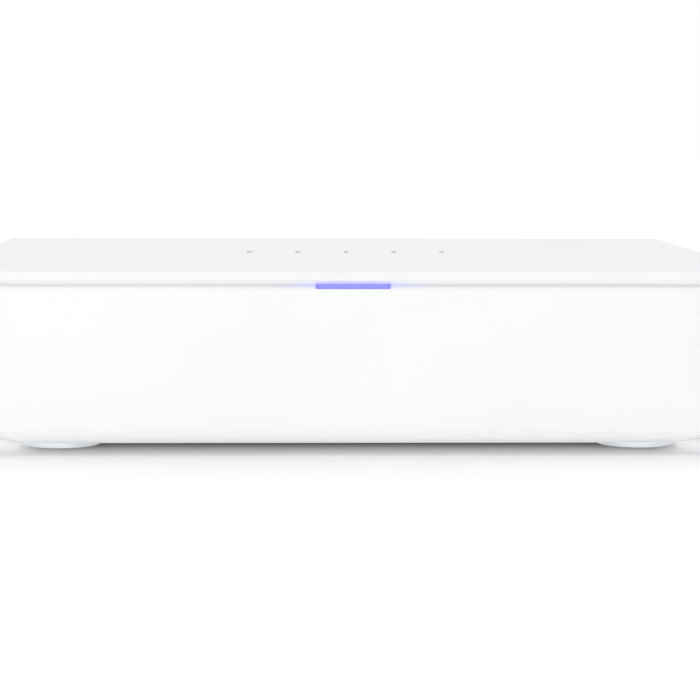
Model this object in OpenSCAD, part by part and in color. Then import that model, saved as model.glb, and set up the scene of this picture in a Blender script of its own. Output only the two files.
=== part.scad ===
// Desktop firewall appliance: a white moulded tub with rolled lower sides, a flat screwed-on
// cover, four rubber feet, and a board that carries the rear sockets, the processor and the
// lights. The origin is on the table under the middle of the case. X runs to the right seen
// from the front, Y to the rear and Z up.

/* [Case] */
// Width of the case
case_w = 210; // [204:1:230]
// Depth of the case, front to rear
case_d = 170; // [168:1:190]
// Height from the table to the top face
case_h = 47; // [46:0.5:60]
// Wall thickness of the lower shell
wall = 2.2; // [1.8:0.1:2.5]
// Plan radius of the two front corners
front_corner_r = 22; // [18:1:26]
// Radius that rolls the sides into the underside
side_round_r = 20; // [18:1:24]
// Plan radius of the front corners at the underside
base_corner_r = 7; // [4:0.2:8]
// Radius of the lower front edge
front_edge_r = 4.4; // [3.6:0.2:7]
// Plan radius of the two rear corners
rear_corner_r = 3.8; // [2.6:0.1:4]
// Depth of the frame around the rear panel
rear_frame_t = 3.5; // [3.2:0.1:4]
// Rounding of the shell's upper edge
shell_lip_r = 1.1; // [0.6:0.1:1.4]

/* [Cover] */
// Height of the cover's visible band
cover_band_h = 3.1; // [2.8:0.1:4]
// Thickness of the cover's plate
cover_t = 2.4; // [2:0.1:2.6]
// Width of the cover's band, seen from below
cover_band_w = 2.2; // [2:0.1:2.4]
// Open seam between the cover and the shell
seam = 0.4; // [0.2:0.1:0.6]
// Distance of the rib that closes the seam behind the case's faces
seam_rib_inset = 0.85; // [0.8:0.05:1.6]
// Clearance between the seam's rib and the cover
seam_rib_gap = 0.06; // [0.04:0.02:0.1]
// Rounding of the cover's upper edge
cover_top_r = 0.3; // [0.2:0.1:0.8]
// Height of the sloped edge under the cover's band
cover_slope_h = 1.1; // [0.6:0.05:1.4]
// Depth of the sloped edge under the cover's band
cover_slope_d = 0.7; // [0.4:0.05:1]
// Thickness of the cover's locating lip
lip_t = 1.5; // [1.2:0.1:2]
// Reach of the locating lip below the cover's band
lip_drop = 2.5; // [1.5:0.1:3]
// Clearance between the locating lip and the shell's wall
lip_gap = 0.25; // [0.15:0.05:0.4]

/* [Lights] */
// Length of each light window along the depth
window_len = 11; // [8:0.5:12]
// Width of each light window
window_w = 1.1; // [0.9:0.1:2]
// Place of the windows' middle along the width
window_x = 0.85; // [-2:0.05:2]
// Distance of the windows behind the middle of the case
window_y = 5; // [3:0.5:7]
// Clearance around each light pipe in its window
window_gap = 0.1; // [0.05:0.05:0.2]
// Width of the status light bar
bar_w = 18.4; // [14:0.2:24]
// Height of the status light bar
bar_h = 0.84; // [0.7:0.02:0.9]
// Depth of the bar's lower edge below the shell's upper edge
bar_drop = 0.66; // [0.5:0.02:0.7]
// Setback of the bar from the front face
bar_setback = 0.1; // [0:0.05:0.3]
// Thickness of the light guide's blade
guide_t = 2; // [1.5:0.1:2.5]
// Clearance around the light guide
guide_gap = 0.15; // [0.1:0.05:0.25]
// Thickness of the ribs that hold the light guide
guide_rib_t = 2; // [1.5:0.1:2.5]
// Thickness of the bridge that joins the light pipes
pipe_bridge_t = 2; // [1.5:0.1:3]
// Drop of the light pipes' bridge below the cover
pipe_bridge_drop = 4; // [3:0.5:6]
// Width of the light pipes' bridge
pipe_bridge_w = 7.4; // [5:0.2:8]
// Radius of the cover's pegs that carry the light pipes
peg_r = 1.4; // [1:0.1:1.6]
// Land around a peg in the light pipes' bridge
peg_land = 3; // [2.5:0.1:4]

/* [Feet] */
// Height of the shell above the table
foot_h = 3; // [2:0.5:5]
// Radius of a foot
foot_r = 10.25; // [8:0.25:11]
// Depth that a foot is let into the shell
foot_seat = 0.8; // [0.4:0.1:1]
// Clearance around a foot in its recess
foot_gap = 0.15; // [0.05:0.05:0.3]
// Rounding of a foot's lower edge
foot_edge_r = 0.3; // [0.2:0.1:1]
// Distance from the case's side to a foot's centre
foot_inset_x = 29; // [27:0.5:34]
// Distance from the case's front or rear to a foot's centre
foot_inset_y = 25.5; // [24:0.5:30]

/* [Fastening] */
// Distance from the case's side to a case screw
case_screw_inset = 23; // [22.5:0.1:24]
// Distance of the case screws in front of and behind the middle
case_screw_y = 36; // [30:1:40]
// Height at which the shell's bosses meet the cover's bosses
boss_split_z = 25; // [22:0.5:28]
// Outer radius of a screw boss
boss_r = 4.6; // [4.2:0.1:4.8]
// Radius of a case screw's shank
case_screw_r = 1.45; // [1.3:0.05:1.5]
// Length of a case screw's shank
case_screw_len = 14; // [12:0.5:16]
// Radius of a case screw's head
case_head_r = 2.8; // [2.5:0.1:3]
// Height of a case screw's head
case_head_h = 2; // [1.5:0.1:2.5]
// Clearance around a case screw's head
case_head_gap = 0.3; // [0.15:0.05:0.5]
// Depth of shell material under a case screw's head
case_seat_t = 8; // [6:0.5:10]
// Outer radius of a threaded insert
insert_r = 2.1; // [2:0.05:2.4]
// Length of a threaded insert
insert_len = 6.5; // [5:0.5:8]
// Clearance around threaded shanks and inserts
screw_gap = 0.05; // [0.02:0.01:0.1]
// Distance between the two wall-mount keyholes
keyhole_spacing = 100; // [80:1:120]
// Radius of a keyhole's entry
keyhole_r = 4.25; // [3.5:0.05:4.5]
// Width of a keyhole's slot
keyhole_slot_w = 4.2; // [3.6:0.1:4.6]
// Length of a keyhole's slot from the entry's centre
keyhole_slot_len = 9; // [7:0.5:12]
// Distance of the keyholes' entries behind the middle of the case
keyhole_y = 10; // [0:1:20]
// Width of the security lock slot
lock_slot_w = 7; // [6.5:0.1:7.5]
// Height of the security lock slot
lock_slot_h = 3; // [2.8:0.1:3.4]
// Distance of the lock slot in front of the rear face
lock_inset_y = 24; // [20:1:30]
// Thickness of the plate behind the lock slot
lock_plate_t = 1.2; // [0.8:0.1:1.6]
// Clearance above and below the plate behind the lock slot
lock_plate_gap = 2.2; // [1.5:0.1:3]

/* [Vents] */
// Width of a vent slot
vent_w = 2; // [1.5:0.1:2.5]
// Distance between vent slots
vent_pitch = 5; // [4:0.5:6]
// Length of a vent slot in the underside
vent_len = 22; // [16:1:26]
// Number of vent slots in each group of the underside
vent_count = 13; // [7:2:15]
// Distance of the vent groups in front of and behind the middle
vent_y = 44; // [40:1:46]
// Height of a vent slot in the rear panel
panel_vent_h = 7; // [5:0.5:8]
// Number of vent slots in the rear panel
panel_vent_count = 29; // [15:2:31]

/* [Rear panel] */
// Thickness of the rear panel
panel_t = 2; // [1.6:0.1:2.4]
// Distance from the case's side to the panel's edge
panel_inset = 15; // [14:0.5:18]
// Height of the panel's lower edge above the shell's floor
panel_rise = 2.8; // [2.6:0.1:4]
// Overlap of the frame over the panel's edge
panel_lap = 2; // [1.5:0.1:2.5]
// Clearance between the panel and what holds it
panel_gap = 0.2; // [0.1:0.05:0.3]
// Distance that the sockets stand proud of the panel
socket_proud = 0.5; // [0.2:0.1:1]
// Clearance between a socket and its cut-out
socket_gap = 0.25; // [0.15:0.05:0.4]

/* [Board] */
// Width of the board
board_w = 152; // [150:1:154]
// Clearance between the light guide and the board's front edge
board_front_gap = 3.85; // [3.5:0.05:6]
// Thickness of the board
board_t = 1.6; // [1.2:0.1:2]
// Height of the board above the shell's floor
standoff_h = 8.2; // [7:0.2:10]
// Clearance between the board and the rear panel
board_gap = 0.3; // [0.2:0.1:0.6]
// Distance from the board's edges to its screws
board_hole_inset = 6; // [5:0.5:7]
// Distance from the board's rear edge to the rear screws
board_rear_inset = 30; // [29:0.5:32]
// Radius of a board screw's shank
board_screw_r = 1.25; // [1:0.05:1.4]
// Radius of a board screw's head
board_head_r = 2.9; // [2.5:0.1:3]
// Height of a board screw's head
board_head_h = 1.8; // [1.4:0.1:2.2]
// Clearance around a screw in a through hole, and under its tip
hole_gap = 0.3; // [0.2:0.05:0.4]
// Outer radius of a board post
post_r = 3.2; // [2.8:0.1:3.6]

/* [Network sockets] */
// Number of sockets in the jack block, and of light windows
port_count = 5; // [2:1:5]
// Distance between sockets, and between light windows
port_pitch = 13.97; // [13.9:0.01:14.1]
// Wall beyond the outer sockets of a jack
jack_side = 1; // [0.8:0.1:1.4]
// Height of a jack
jack_h = 13.4; // [13:0.1:14]
// Depth of a jack
jack_d = 16; // [15:0.5:18]
// Width of a socket
socket_w = 11.8; // [11.6:0.1:12]
// Height of a socket
socket_h = 8.2; // [8:0.1:8.6]
// Depth of a socket
socket_d = 13.5; // [12:0.5:14]
// Height of a socket's floor above the board
socket_rise = 3; // [2.6:0.1:3.2]
// Width of a socket's latch notch
latch_w = 6.4; // [6:0.1:6.8]
// Height of a socket's latch notch
latch_h = 2.1; // [1.8:0.1:2.2]
// Distance between contacts
contact_pitch = 1.02; // [1:0.01:1.05]
// Width of a contact
contact_w = 0.45; // [0.3:0.05:0.5]
// Thickness of a contact
contact_t = 0.32; // [0.25:0.01:0.4]
// Distance of the contacts behind a socket's face
contact_setback = 3.2; // [2.6:0.1:4]
// Drop of a contact from the socket's ceiling to its back
contact_drop = 3.1; // [2.6:0.1:3.2]
// Width of an indicator window in a jack
jack_light_w = 3.2; // [2.6:0.1:3.4]
// Height of an indicator window in a jack
jack_light_h = 1.4; // [1:0.1:1.5]
// Place of the jack block's middle along the width
lan_x = -38.6; // [-39:0.1:-38]
// Place of the uplink jack's middle along the width
wan_x = 7.5; // [7:0.1:8.5]

/* [Data and power sockets] */
// Place of the type-A socket along the width
type_a_x = 25.6; // [25:0.1:26]
// Width of the type-A shell
type_a_w = 13.1; // [12.9:0.1:13.5]
// Height of the type-A shell
type_a_h = 5.7; // [5.6:0.1:6]
// Depth of the type-A shell
type_a_d = 14; // [12:0.5:16]
// Place of the type-C socket along the width
type_c_x = 40.4; // [40:0.1:41]
// Width of the type-C shell
type_c_w = 8.94; // [8.9:0.01:9.1]
// Height of the type-C shell
type_c_h = 3.16; // [3.1:0.01:3.3]
// Depth of the type-C shell
type_c_d = 7.5; // [7:0.1:9]
// Wall of the two data shells
data_shell_t = 0.3; // [0.25:0.01:0.4]
// Back wall of the two data shells
data_back_t = 1; // [0.6:0.1:1.4]
// Distance from a data shell's side to its tongue
tongue_inset = 1; // [0.8:0.1:1.2]
// Thickness of the type-A tongue
type_a_tongue_t = 1.9; // [1.6:0.1:2]
// Height of the type-A tongue's middle above the board
type_a_tongue_rise = 3.4; // [3.2:0.1:3.5]
// Distance of the type-A tongue behind the socket's face
type_a_tongue_setback = 4.7; // [3:0.1:5]
// Thickness of the type-C tongue
type_c_tongue_t = 0.7; // [0.6:0.05:0.8]
// Distance of the type-C tongue behind the socket's face
type_c_tongue_setback = 1.9; // [1.2:0.1:2.4]
// Place of the power inlet along the width
inlet_x = 58; // [57.6:0.1:58.2]
// Width of the power inlet
inlet_w = 9; // [8.6:0.1:9.4]
// Height of the power inlet
inlet_h = 10.8; // [10.4:0.1:11.4]
// Depth of the power inlet
inlet_d = 14; // [13:0.5:15]
// Radius of the power inlet's bore
inlet_bore_r = 3.15; // [3:0.05:3.3]
// Depth of the power inlet's bore
inlet_bore_d = 10; // [9:0.5:11]
// Radius of the power inlet's centre pin
inlet_pin_r = 1.05; // [0.9:0.05:1.25]
// Distance of the centre pin's tip behind the inlet's face
inlet_pin_setback = 1; // [0.6:0.1:2]

/* [Power switch] */
// Place of the power switch along the width
switch_x = 71; // [70.8:0.1:71.5]
// Height of the power switch's middle above the table
switch_z = 23.5; // [23:0.1:25]
// Width of the switch's opening
switch_w = 7.6; // [7.2:0.1:8]
// Height of the switch's opening
switch_h = 12.4; // [12:0.1:13]
// Wall of the switch's frame
switch_wall = 0.6; // [0.5:0.05:0.8]
// Back of the switch's frame
switch_back_t = 1.6; // [1.2:0.1:2]
// Width of the bezel around the opening
bezel_w = 1.6; // [1.3:0.1:2]
// Thickness of the bezel
bezel_t = 1.2; // [1:0.1:1.4]
// Depth of the switch's frame behind the panel's face
switch_d = 10; // [9:0.5:11]
// Clearance between the rocker and its frame
rocker_gap = 0.3; // [0.25:0.05:0.4]
// Tilt of the rocker away from level, at either end of its swing
rocker_tilt = 9; // [6:1:10]
// Height of the rocker's face above its pivot at the middle
rocker_rise = 1.2; // [1:0.1:1.5]
// Slope of the rocker's face on either side
rocker_slope = 11; // [8:1:13]
// Thickness of the rocker behind its pivot
rocker_back = 0.8; // [0.6:0.1:1]
// Radius of the rocker's hub
rocker_hub_r = 2.2; // [1.9:0.1:2.4]
// Radius of the rocker's pin
rocker_pin_r = 0.7; // [0.6:0.05:0.8]
// Running clearance of the rocker's pin
pin_gap = 0.05; // [0.03:0.01:0.08]

/* [Reset button] */
// Place of the reset button along the width
reset_x = 49.4; // [49:0.1:49.8]
// Height of the reset button's axis above the board
reset_rise = 2.4; // [2.2:0.1:3]
// Radius of the reset button
reset_r = 1.2; // [1:0.1:1.4]
// Running gap around the reset button
reset_gap = 0.3; // [0.25:0.05:0.35]
// Travel of the reset button
reset_travel = 0.5; // [0.3:0.1:0.6]
// Distance of the reset button's face behind the panel's face
reset_recess = 0.6; // [0.4:0.1:0.8]
// Width of the reset switch's body
reset_body_w = 6; // [5.6:0.1:6.2]
// Height of the reset switch's body
reset_body_h = 4.6; // [4.4:0.1:5.4]
// Depth of the reset switch's body
reset_body_d = 3.6; // [3.2:0.1:4.2]
// Thickness of the reset switch's body behind its bore
reset_back_t = 1.2; // [0.8:0.1:1.4]

/* [Processor and cooling] */
// Place of the processor along the width
cpu_x = 20; // [18:1:22]
// Distance from the board's front edge to the processor
cpu_inset = 37; // [34:1:39]
// Side of the processor
cpu_side = 24; // [20:1:28]
// Height of the processor
cpu_h = 1.6; // [1.2:0.1:2.4]
// Side of the thermal pad
pad_side = 22; // [18:1:24]
// Thickness of the thermal pad
pad_t = 0.5; // [0.3:0.1:1]
// Width of the heat sink's base
sink_w = 60; // [56:1:62]
// Depth of the heat sink
sink_d = 50; // [44:1:52]
// Thickness of the heat sink's base
sink_base_t = 3; // [2.5:0.1:4]
// Height of a cooling fin
fin_h = 16; // [10:0.5:18]
// Thickness of a cooling fin
fin_t = 1.4; // [1:0.1:1.6]
// Distance between cooling fins
fin_pitch = 4.4; // [3.6:0.1:4.6]
// Number of cooling fins
fin_count = 10; // [6:1:11]
// Distance from the heat sink's edges to its screws
sink_hole_inset = 4; // [3.5:0.1:4.5]
// Radius of a heat sink post
sink_post_r = 2.5; // [2.2:0.1:3]
// Radius of a heat sink screw's head
sink_head_r = 2.4; // [2:0.1:2.6]
// Height of a heat sink screw's head
sink_head_h = 1.6; // [1.2:0.1:2]

/* [Board components] */
// Number of memory chips
memory_count = 4; // [2:1:4]
// Distance between memory chips
memory_pitch = 12; // [10:0.5:13]
// Width of a memory chip
memory_w = 13; // [10:0.5:14]
// Depth of a memory chip
memory_d = 8.5; // [7:0.5:9]
// Height of a memory chip
memory_h = 1.1; // [0.9:0.1:1.5]
// Width of the storage chip
storage_w = 13; // [11:0.5:16]
// Depth of the storage chip
storage_d = 11.5; // [10:0.5:13]
// Height of the storage chip
storage_h = 1; // [0.8:0.1:1.4]
// Place of the storage chip along the width
storage_x = -51; // [-54:1:-48]
// Distance from the board's front edge to the storage chip
storage_inset = 20; // [16:1:21]
// Side of the network switch chip
switch_chip_side = 20; // [14:1:22]
// Height of the network switch chip
switch_chip_h = 1.4; // [1:0.1:2]
// Distance from the board's rear edge to the network switch chip
switch_chip_inset = 47; // [42:1:48]
// Width of a line transformer
transformer_w = 12; // [10:0.5:13]
// Depth of a line transformer
transformer_d = 8; // [7:0.5:8.5]
// Height of a line transformer
transformer_h = 5.2; // [4:0.1:6]
// Radius of a power capacitor
capacitor_r = 4; // [3:0.5:4.5]
// Height of a power capacitor
capacitor_h = 11; // [8:0.5:16]
// Distance between power capacitors
capacitor_pitch = 10.5; // [9.5:0.5:11]
// Side of a power inductor
inductor_side = 10; // [7:0.5:11]
// Height of a power inductor
inductor_h = 4.6; // [3:0.1:6]
// Distance between power inductors
inductor_pitch = 13; // [12:0.5:14]
// Radius of the clock battery
battery_r = 10; // [9.5:0.5:11.5]
// Thickness of the clock battery
battery_t = 3.2; // [2:0.1:3.4]
// Wall and floor of the battery holder
holder_t = 1.2; // [1:0.1:1.6]
// Clearance around the clock battery
battery_gap = 0.15; // [0.1:0.05:0.25]
// Place of the clock battery along the width
battery_x = -51; // [-54:1:-48]
// Distance from the board's front edge to the clock battery
battery_inset = 47; // [44:1:50]
// Side of a light on the board
light_side = 3; // [2:0.1:3.4]
// Height of a light on the board
light_h = 1.2; // [0.8:0.1:1.6]
// Gap between a light and what carries its light away
light_gap = 0.3; // [0.2:0.1:0.6]

/* [Hidden] */

$fn = 48;
// Overrun of a cut beyond the face that it opens
over = 1;
// Overlap of two shapes that make one piece
skin = 0.01;
// Steps along a front corner, a rear corner, a rolled side and a small edge
corner_steps = 16;
rear_steps = 5;
roll_steps = 18;
edge_steps = 6;
// Least radius of an inner corner
least_r = 0.5;
// Power by which the tub's front corners open from their foot up to the full radius
corner_power = 4;

// Colours of the moulded case, the board and the metals
case_white = [0.95, 0.95, 0.95];
panel_grey = [0.86, 0.87, 0.88];
foot_grey = [0.87, 0.89, 0.91];
light_violet = [0.63, 0.63, 0.98];
smoke = [0.55, 0.56, 0.58];
board_green = [0.1, 0.34, 0.22];
chip_black = [0.12, 0.12, 0.13];
socket_black = [0.1, 0.1, 0.11];
plated = [0.78, 0.79, 0.8];
gold = [0.85, 0.68, 0.3];
brass_tone = [0.78, 0.62, 0.32];

// Levels of the case, from the table up
floor_z = foot_h + wall;
root_z = foot_h + wall / 2;
shell_top = case_h - cover_band_h - seam;
band_z = case_h - cover_band_h;
cover_under = case_h - cover_t;
board_z = floor_z + standoff_h;
board_top = board_z + board_t;

// Places along the depth, from the front face to the rear face
front_y = -case_d / 2;
rear_y = case_d / 2;
front_wall_y = front_y + wall;
panel_face_y = rear_y - rear_frame_t;
panel_back_y = panel_face_y - panel_t;
socket_face_y = panel_face_y + socket_proud;
guide_front_y = front_wall_y + guide_gap;
guide_back_y = guide_front_y + guide_t;
board_rear_y = panel_back_y - board_gap;
board_front_y = guide_back_y + board_front_gap;
board_mid_y = (board_front_y + board_rear_y) / 2;

// The rear panel and the opening that shows it
panel_w = case_w - 2 * panel_inset;
panel_z = floor_z + panel_rise;
panel_top = cover_under - panel_gap;

// Screws of the case and of the board
case_screw_x = case_w / 2 - case_screw_inset;
case_screw_spots = [for (x = [-1, 1], y = [-1, 1]) [x * case_screw_x, y * case_screw_y]];
case_seat_z = boss_split_z - case_seat_t;
board_screw_x = board_w / 2 - board_hole_inset;
board_screw_ys = [
    board_front_y + board_hole_inset,
    board_mid_y,
    board_rear_y - board_rear_inset
];
board_screw_spots = [for (x = [-1, 1], y = board_screw_ys) [x * board_screw_x, y]];
board_screw_len = board_t + standoff_h - wall / 2;

// The plate behind the lock slot, between the rolled side and the cover's lip
lock_low_z = foot_h + side_round_r + lock_plate_gap;
lock_high_z = band_z - lip_drop - lock_plate_gap;
lock_z = (lock_low_z + lock_high_z) / 2;

// Feet
foot_x = case_w / 2 - foot_inset_x;
foot_y = case_d / 2 - foot_inset_y;

// Jacks and the sockets in them
lan_w = port_count * port_pitch + 2 * jack_side;
wan_w = port_pitch + 2 * jack_side;
lan_xs = [for (i = [0:port_count - 1]) lan_x + (i - (port_count - 1) / 2) * port_pitch];
socket_z = board_top + socket_rise;
socket_top = socket_z + socket_h;
socket_back_y = socket_face_y - socket_d;
contact_count = 8;

// Light windows, their pipes and the status light
window_xs = [for (i = [0:port_count - 1]) window_x + (i - (port_count - 1) / 2) * port_pitch];
pipe_foot_z = board_top + light_h + light_gap;
peg_reach = port_count * port_pitch / 2;
bar_z = shell_top - bar_drop;
bar_top = bar_z + bar_h;
guide_rib_top = band_z - lip_drop - lip_gap;
guide_tab_z = board_top + 2 * guide_t + guide_rib_t;
status_y = board_front_y + light_side;

// Cooling
cpu_y = board_front_y + cpu_inset;
sink_z = board_top + cpu_h + pad_t;
sink_hole_spots = [
    for (x = [-1, 1], y = [-1, 1])
        [cpu_x + x * (sink_w / 2 - sink_hole_inset), cpu_y + y * (sink_d / 2 - sink_hole_inset)]
];

// Power switch and reset button
switch_body_w = switch_w + 2 * switch_wall;
switch_body_h = switch_h + 2 * switch_wall;
rocker_w = switch_w - 2 * rocker_gap;
rocker_r = switch_h / 2 - rocker_gap;
pivot_y = panel_face_y - rocker_gap;
reset_z = board_top + reset_rise;
reset_body_y = board_rear_y - reset_body_d;
reset_bore_y = reset_body_y + reset_back_t;
reset_tip_y = panel_face_y - reset_recess;

// Points of an arc about a centre, from one angle to another
function arc_points(cx, cy, r, from, to, steps) = [
    for (i = [0:steps])
        let (a = from + (to - from) * i / steps)
        [cx + r * cos(a), cy + r * sin(a)]
];

// Plan outline with one radius at the front corners and another at the rear corners
function plan_outline(half_w, front, rear, front_r, rear_r) = concat(
    arc_points(half_w - front_r, front + front_r, front_r, -90, 0, corner_steps),
    arc_points(half_w - rear_r, rear - rear_r, rear_r, 0, 90, rear_steps),
    arc_points(rear_r - half_w, rear - rear_r, rear_r, 90, 180, rear_steps),
    arc_points(front_r - half_w, front + front_r, front_r, 180, 270, corner_steps)
);

// Plan outline of the case, drawn in from its faces by an inset
function case_outline(inset) = plan_outline(
    case_w / 2 - inset, front_y + inset, rear_y - inset,
    front_corner_r - inset, max(rear_corner_r - inset, least_r)
);

// Setback of an edge of radius r at a height t above the start of its rounding
function setback(r, t) = t >= r ? 0 : r - sqrt(r * r - (r - t) * (r - t));

// A closed form through a stack of outlines, each given with its level
module loft(rings) {
    n = len(rings[0][1]);
    top = (len(rings) - 1) * n;
    points = [for (ring = rings, p = ring[1]) [p[0], p[1], ring[0]]];
    sides = [
        for (k = [0:len(rings) - 2], i = [0:n - 1])
            let (j = (i + 1) % n)
            [k * n + i, k * n + n + i, k * n + n + j, k * n + j]
    ];
    polyhedron(points, concat([[for (i = [0:n - 1]) i]], sides, [[for (i = [n - 1:-1:0]) top + i]]));
}

// The tub's form, drawn in from the outside by an inset: its sides roll into the underside on
// a large radius, its front edge on a small one, and its front corners tighten downwards
module shell_form(inset, rear, top, lip_r) {
    half_w = case_w / 2 - inset;
    front = front_y + inset;
    roll_r = side_round_r - inset;
    edge_r = front_edge_r - inset;
    rear_r = max(rear_corner_r - inset, least_r);
    corner_r = front_corner_r - inset;
    base_r = base_corner_r - inset;
    rolled = [
        for (i = [0:roll_steps])
            let (t = roll_r * (1 - cos(90 * i / roll_steps)))
            [foot_h + inset + t, plan_outline(
                half_w - setback(roll_r, t), front + setback(edge_r, t), rear - setback(rear_r, t),
                base_r + (corner_r - base_r) * pow(1 - setback(roll_r, t) / roll_r, corner_power), rear_r
            )]
    ];
    lip = [
        for (i = [0:lip_r > 0 ? edge_steps : 0])
            let (a = 90 * i / edge_steps, t = lip_r * (1 - cos(a)))
            [top - lip_r * (1 - sin(a)), plan_outline(
                half_w - t, front + t, rear - t, corner_r - t, max(rear_r - t, least_r)
            )]
    ];
    loft(concat(rolled, lip));
}

// A box between two corners
module box(low, high) {
    translate(low) cube(high - low);
}

// A cylinder along Y, from one place to another
module rod_y(x, z, r, from, to) {
    translate([x, from, z]) rotate([-90, 0, 0]) cylinder(r = r, h = to - from);
}

// A bar with round ends along Y, standing from one level to another
module round_slot(x, y, w, len, from, to) {
    translate([x, y, from]) linear_extrude(to - from) {
        square([w, len - w], center = true);
        for (end = [-1, 1]) translate([0, end * (len - w) / 2]) circle(d = w);
    }
}

// A rectangular package on the board, given by its middle
module chip(x, y, w, d, h) {
    box([x - w / 2, y - d / 2, board_top], [x + w / 2, y + d / 2, board_top + h]);
}

// Posts for the board, bosses for the case screws, ledges for the panel and ribs for the guide
module shell_posts() {
    for (p = board_screw_spots) {
        translate([p[0], p[1], root_z]) cylinder(r = post_r, h = board_z - root_z);
    }
    for (p = case_screw_spots) {
        translate([p[0], p[1], root_z]) cylinder(r = boss_r, h = boss_split_z - root_z);
    }
    for (side = [-1, 1]) {
        ledge_x = side * panel_w / 4;
        box(
            [ledge_x - boss_r, panel_back_y - panel_t, root_z],
            [ledge_x + boss_r, panel_face_y + skin, panel_z]
        );
        stop_x = side * (panel_w / 2 - panel_lap);
        box(
            [stop_x - panel_t / 2, panel_back_y - panel_gap - panel_t, root_z],
            [stop_x + panel_t / 2, panel_back_y - panel_gap, shell_top - lip_drop]
        );
        rib_x = side * (bar_w / 2 + guide_gap + guide_rib_t / 2);
        box(
            [rib_x - guide_rib_t / 2, front_wall_y - wall / 2, root_z + front_edge_r],
            [rib_x + guide_rib_t / 2, guide_back_y + guide_gap + guide_rib_t, guide_rib_top]
        );
        tab_x = rib_x - side * guide_rib_t;
        box(
            [tab_x - guide_rib_t / 2 - skin, guide_back_y + guide_gap, guide_tab_z],
            [tab_x + guide_rib_t / 2 + skin, guide_back_y + guide_gap + guide_rib_t, guide_rib_top]
        );
    }
}

// Openings and bores of the lower shell
module shell_cuts() {
    box(
        [panel_lap - panel_w / 2, panel_face_y - over, panel_z + panel_lap],
        [panel_w / 2 - panel_lap, rear_y + over, case_h]
    );
    box(
        [-bar_w / 2 - guide_gap, front_y - over, bar_z - guide_gap],
        [bar_w / 2 + guide_gap, front_wall_y + skin, case_h]
    );
    for (x = [-1, 1], y = [-1, 1]) {
        translate([x * foot_x, y * foot_y, foot_h - over])
            cylinder(r = foot_r + foot_gap, h = over + foot_seat);
    }
    for (p = case_screw_spots) translate([p[0], p[1], foot_h - over]) {
        cylinder(r = case_head_r + case_head_gap, h = case_seat_z - foot_h + over);
        cylinder(r = case_screw_r + screw_gap, h = case_h);
    }
    for (p = board_screw_spots) {
        translate([p[0], p[1], board_top - board_screw_len - hole_gap])
            cylinder(r = board_screw_r + screw_gap, h = case_h);
    }
    for (side = [-1, 1]) translate([side * keyhole_spacing / 2, keyhole_y, foot_h - over]) {
        cylinder(r = keyhole_r, h = wall + 2 * over);
        translate([0, -keyhole_slot_len, 0]) cylinder(d = keyhole_slot_w, h = wall + 2 * over);
        translate([-keyhole_slot_w / 2, -keyhole_slot_len, 0])
            cube([keyhole_slot_w, keyhole_slot_len, wall + 2 * over]);
    }
    for (side = [-1, 1], i = [0:vent_count - 1]) {
        round_slot(
            (i - (vent_count - 1) / 2) * vent_pitch, side * vent_y,
            vent_w, vent_len, foot_h - over, floor_z + over
        );
    }
    lock_cut(case_w / 2 - wall - over, case_w / 2 + over);
}

// The security lock slot's cut through the right side
module lock_cut(from, to) {
    box(
        [from, rear_y - lock_inset_y - lock_slot_w / 2, lock_z - lock_slot_h / 2],
        [to, rear_y - lock_inset_y + lock_slot_w / 2, lock_z + lock_slot_h / 2]
    );
}

// The rib on the shell's upper edge that closes the seam behind the cover's band
module seam_rib() {
    translate([0, 0, shell_top - skin]) linear_extrude(seam - seam_rib_gap + skin) difference() {
        polygon(case_outline(seam_rib_inset));
        polygon(case_outline(wall));
    }
}

module lower_shell() {
    color(case_white) difference() {
        union() {
            difference() {
                shell_form(0, rear_y, shell_top, shell_lip_r);
                shell_form(wall, panel_face_y, case_h, 0);
            }
            shell_posts();
            seam_rib();
        }
        shell_cuts();
    }
}

// The cover's plate with its band, sloped below and rounded above
module cover_form() {
    under = [
        [band_z, case_outline(cover_slope_d)],
        [band_z + cover_slope_h, case_outline(0)]
    ];
    upper = [
        for (i = [0:edge_steps])
            let (a = 90 * i / edge_steps)
            [case_h - cover_top_r * (1 - sin(a)), case_outline(cover_top_r * (1 - cos(a)))]
    ];
    loft(concat(under, upper));
}

// The lip that locates the cover in the shell, open at the light guide and the rear panel
module cover_lip() {
    lip_in = wall + lip_gap;
    difference() {
        translate([0, 0, band_z - lip_drop]) linear_extrude(cover_under - band_z + lip_drop + skin)
            difference() {
                polygon(case_outline(lip_in));
                polygon(case_outline(lip_in + lip_t));
            }
        box(
            [-bar_w / 2 - 2 * guide_gap, front_y, 0],
            [bar_w / 2 + 2 * guide_gap, guide_back_y + guide_gap, case_h]
        );
        box([-case_w, panel_back_y - panel_t - 2 * panel_gap, 0], [case_w, rear_y + over, case_h]);
    }
}

module top_cover() {
    color(case_white) difference() {
        union() {
            difference() {
                cover_form();
                translate([0, 0, band_z - over]) linear_extrude(cover_under - band_z + over)
                    polygon(case_outline(cover_band_w));
            }
            cover_lip();
            for (p = case_screw_spots) {
                translate([p[0], p[1], boss_split_z])
                    cylinder(r = boss_r, h = cover_under - boss_split_z + skin);
            }
            for (side = [-1, 1]) {
                peg_h = pipe_bridge_drop + 2 * pipe_bridge_t;
                translate([window_x + side * peg_reach, window_y, cover_under - peg_h])
                    cylinder(r = peg_r, h = peg_h + skin);
            }
        }
        for (p = case_screw_spots) translate([p[0], p[1], boss_split_z - over]) {
            cylinder(r = insert_r + screw_gap, h = insert_len + over + screw_gap);
            cylinder(r = case_screw_r + screw_gap, h = case_screw_len - case_seat_t + 2 * over);
        }
        for (x = window_xs) {
            box(
                [x - window_w / 2 - window_gap, window_y - window_len / 2 - window_gap, band_z - over],
                [x + window_w / 2 + window_gap, window_y + window_len / 2 + window_gap, case_h + over]
            );
        }
    }
}

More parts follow.
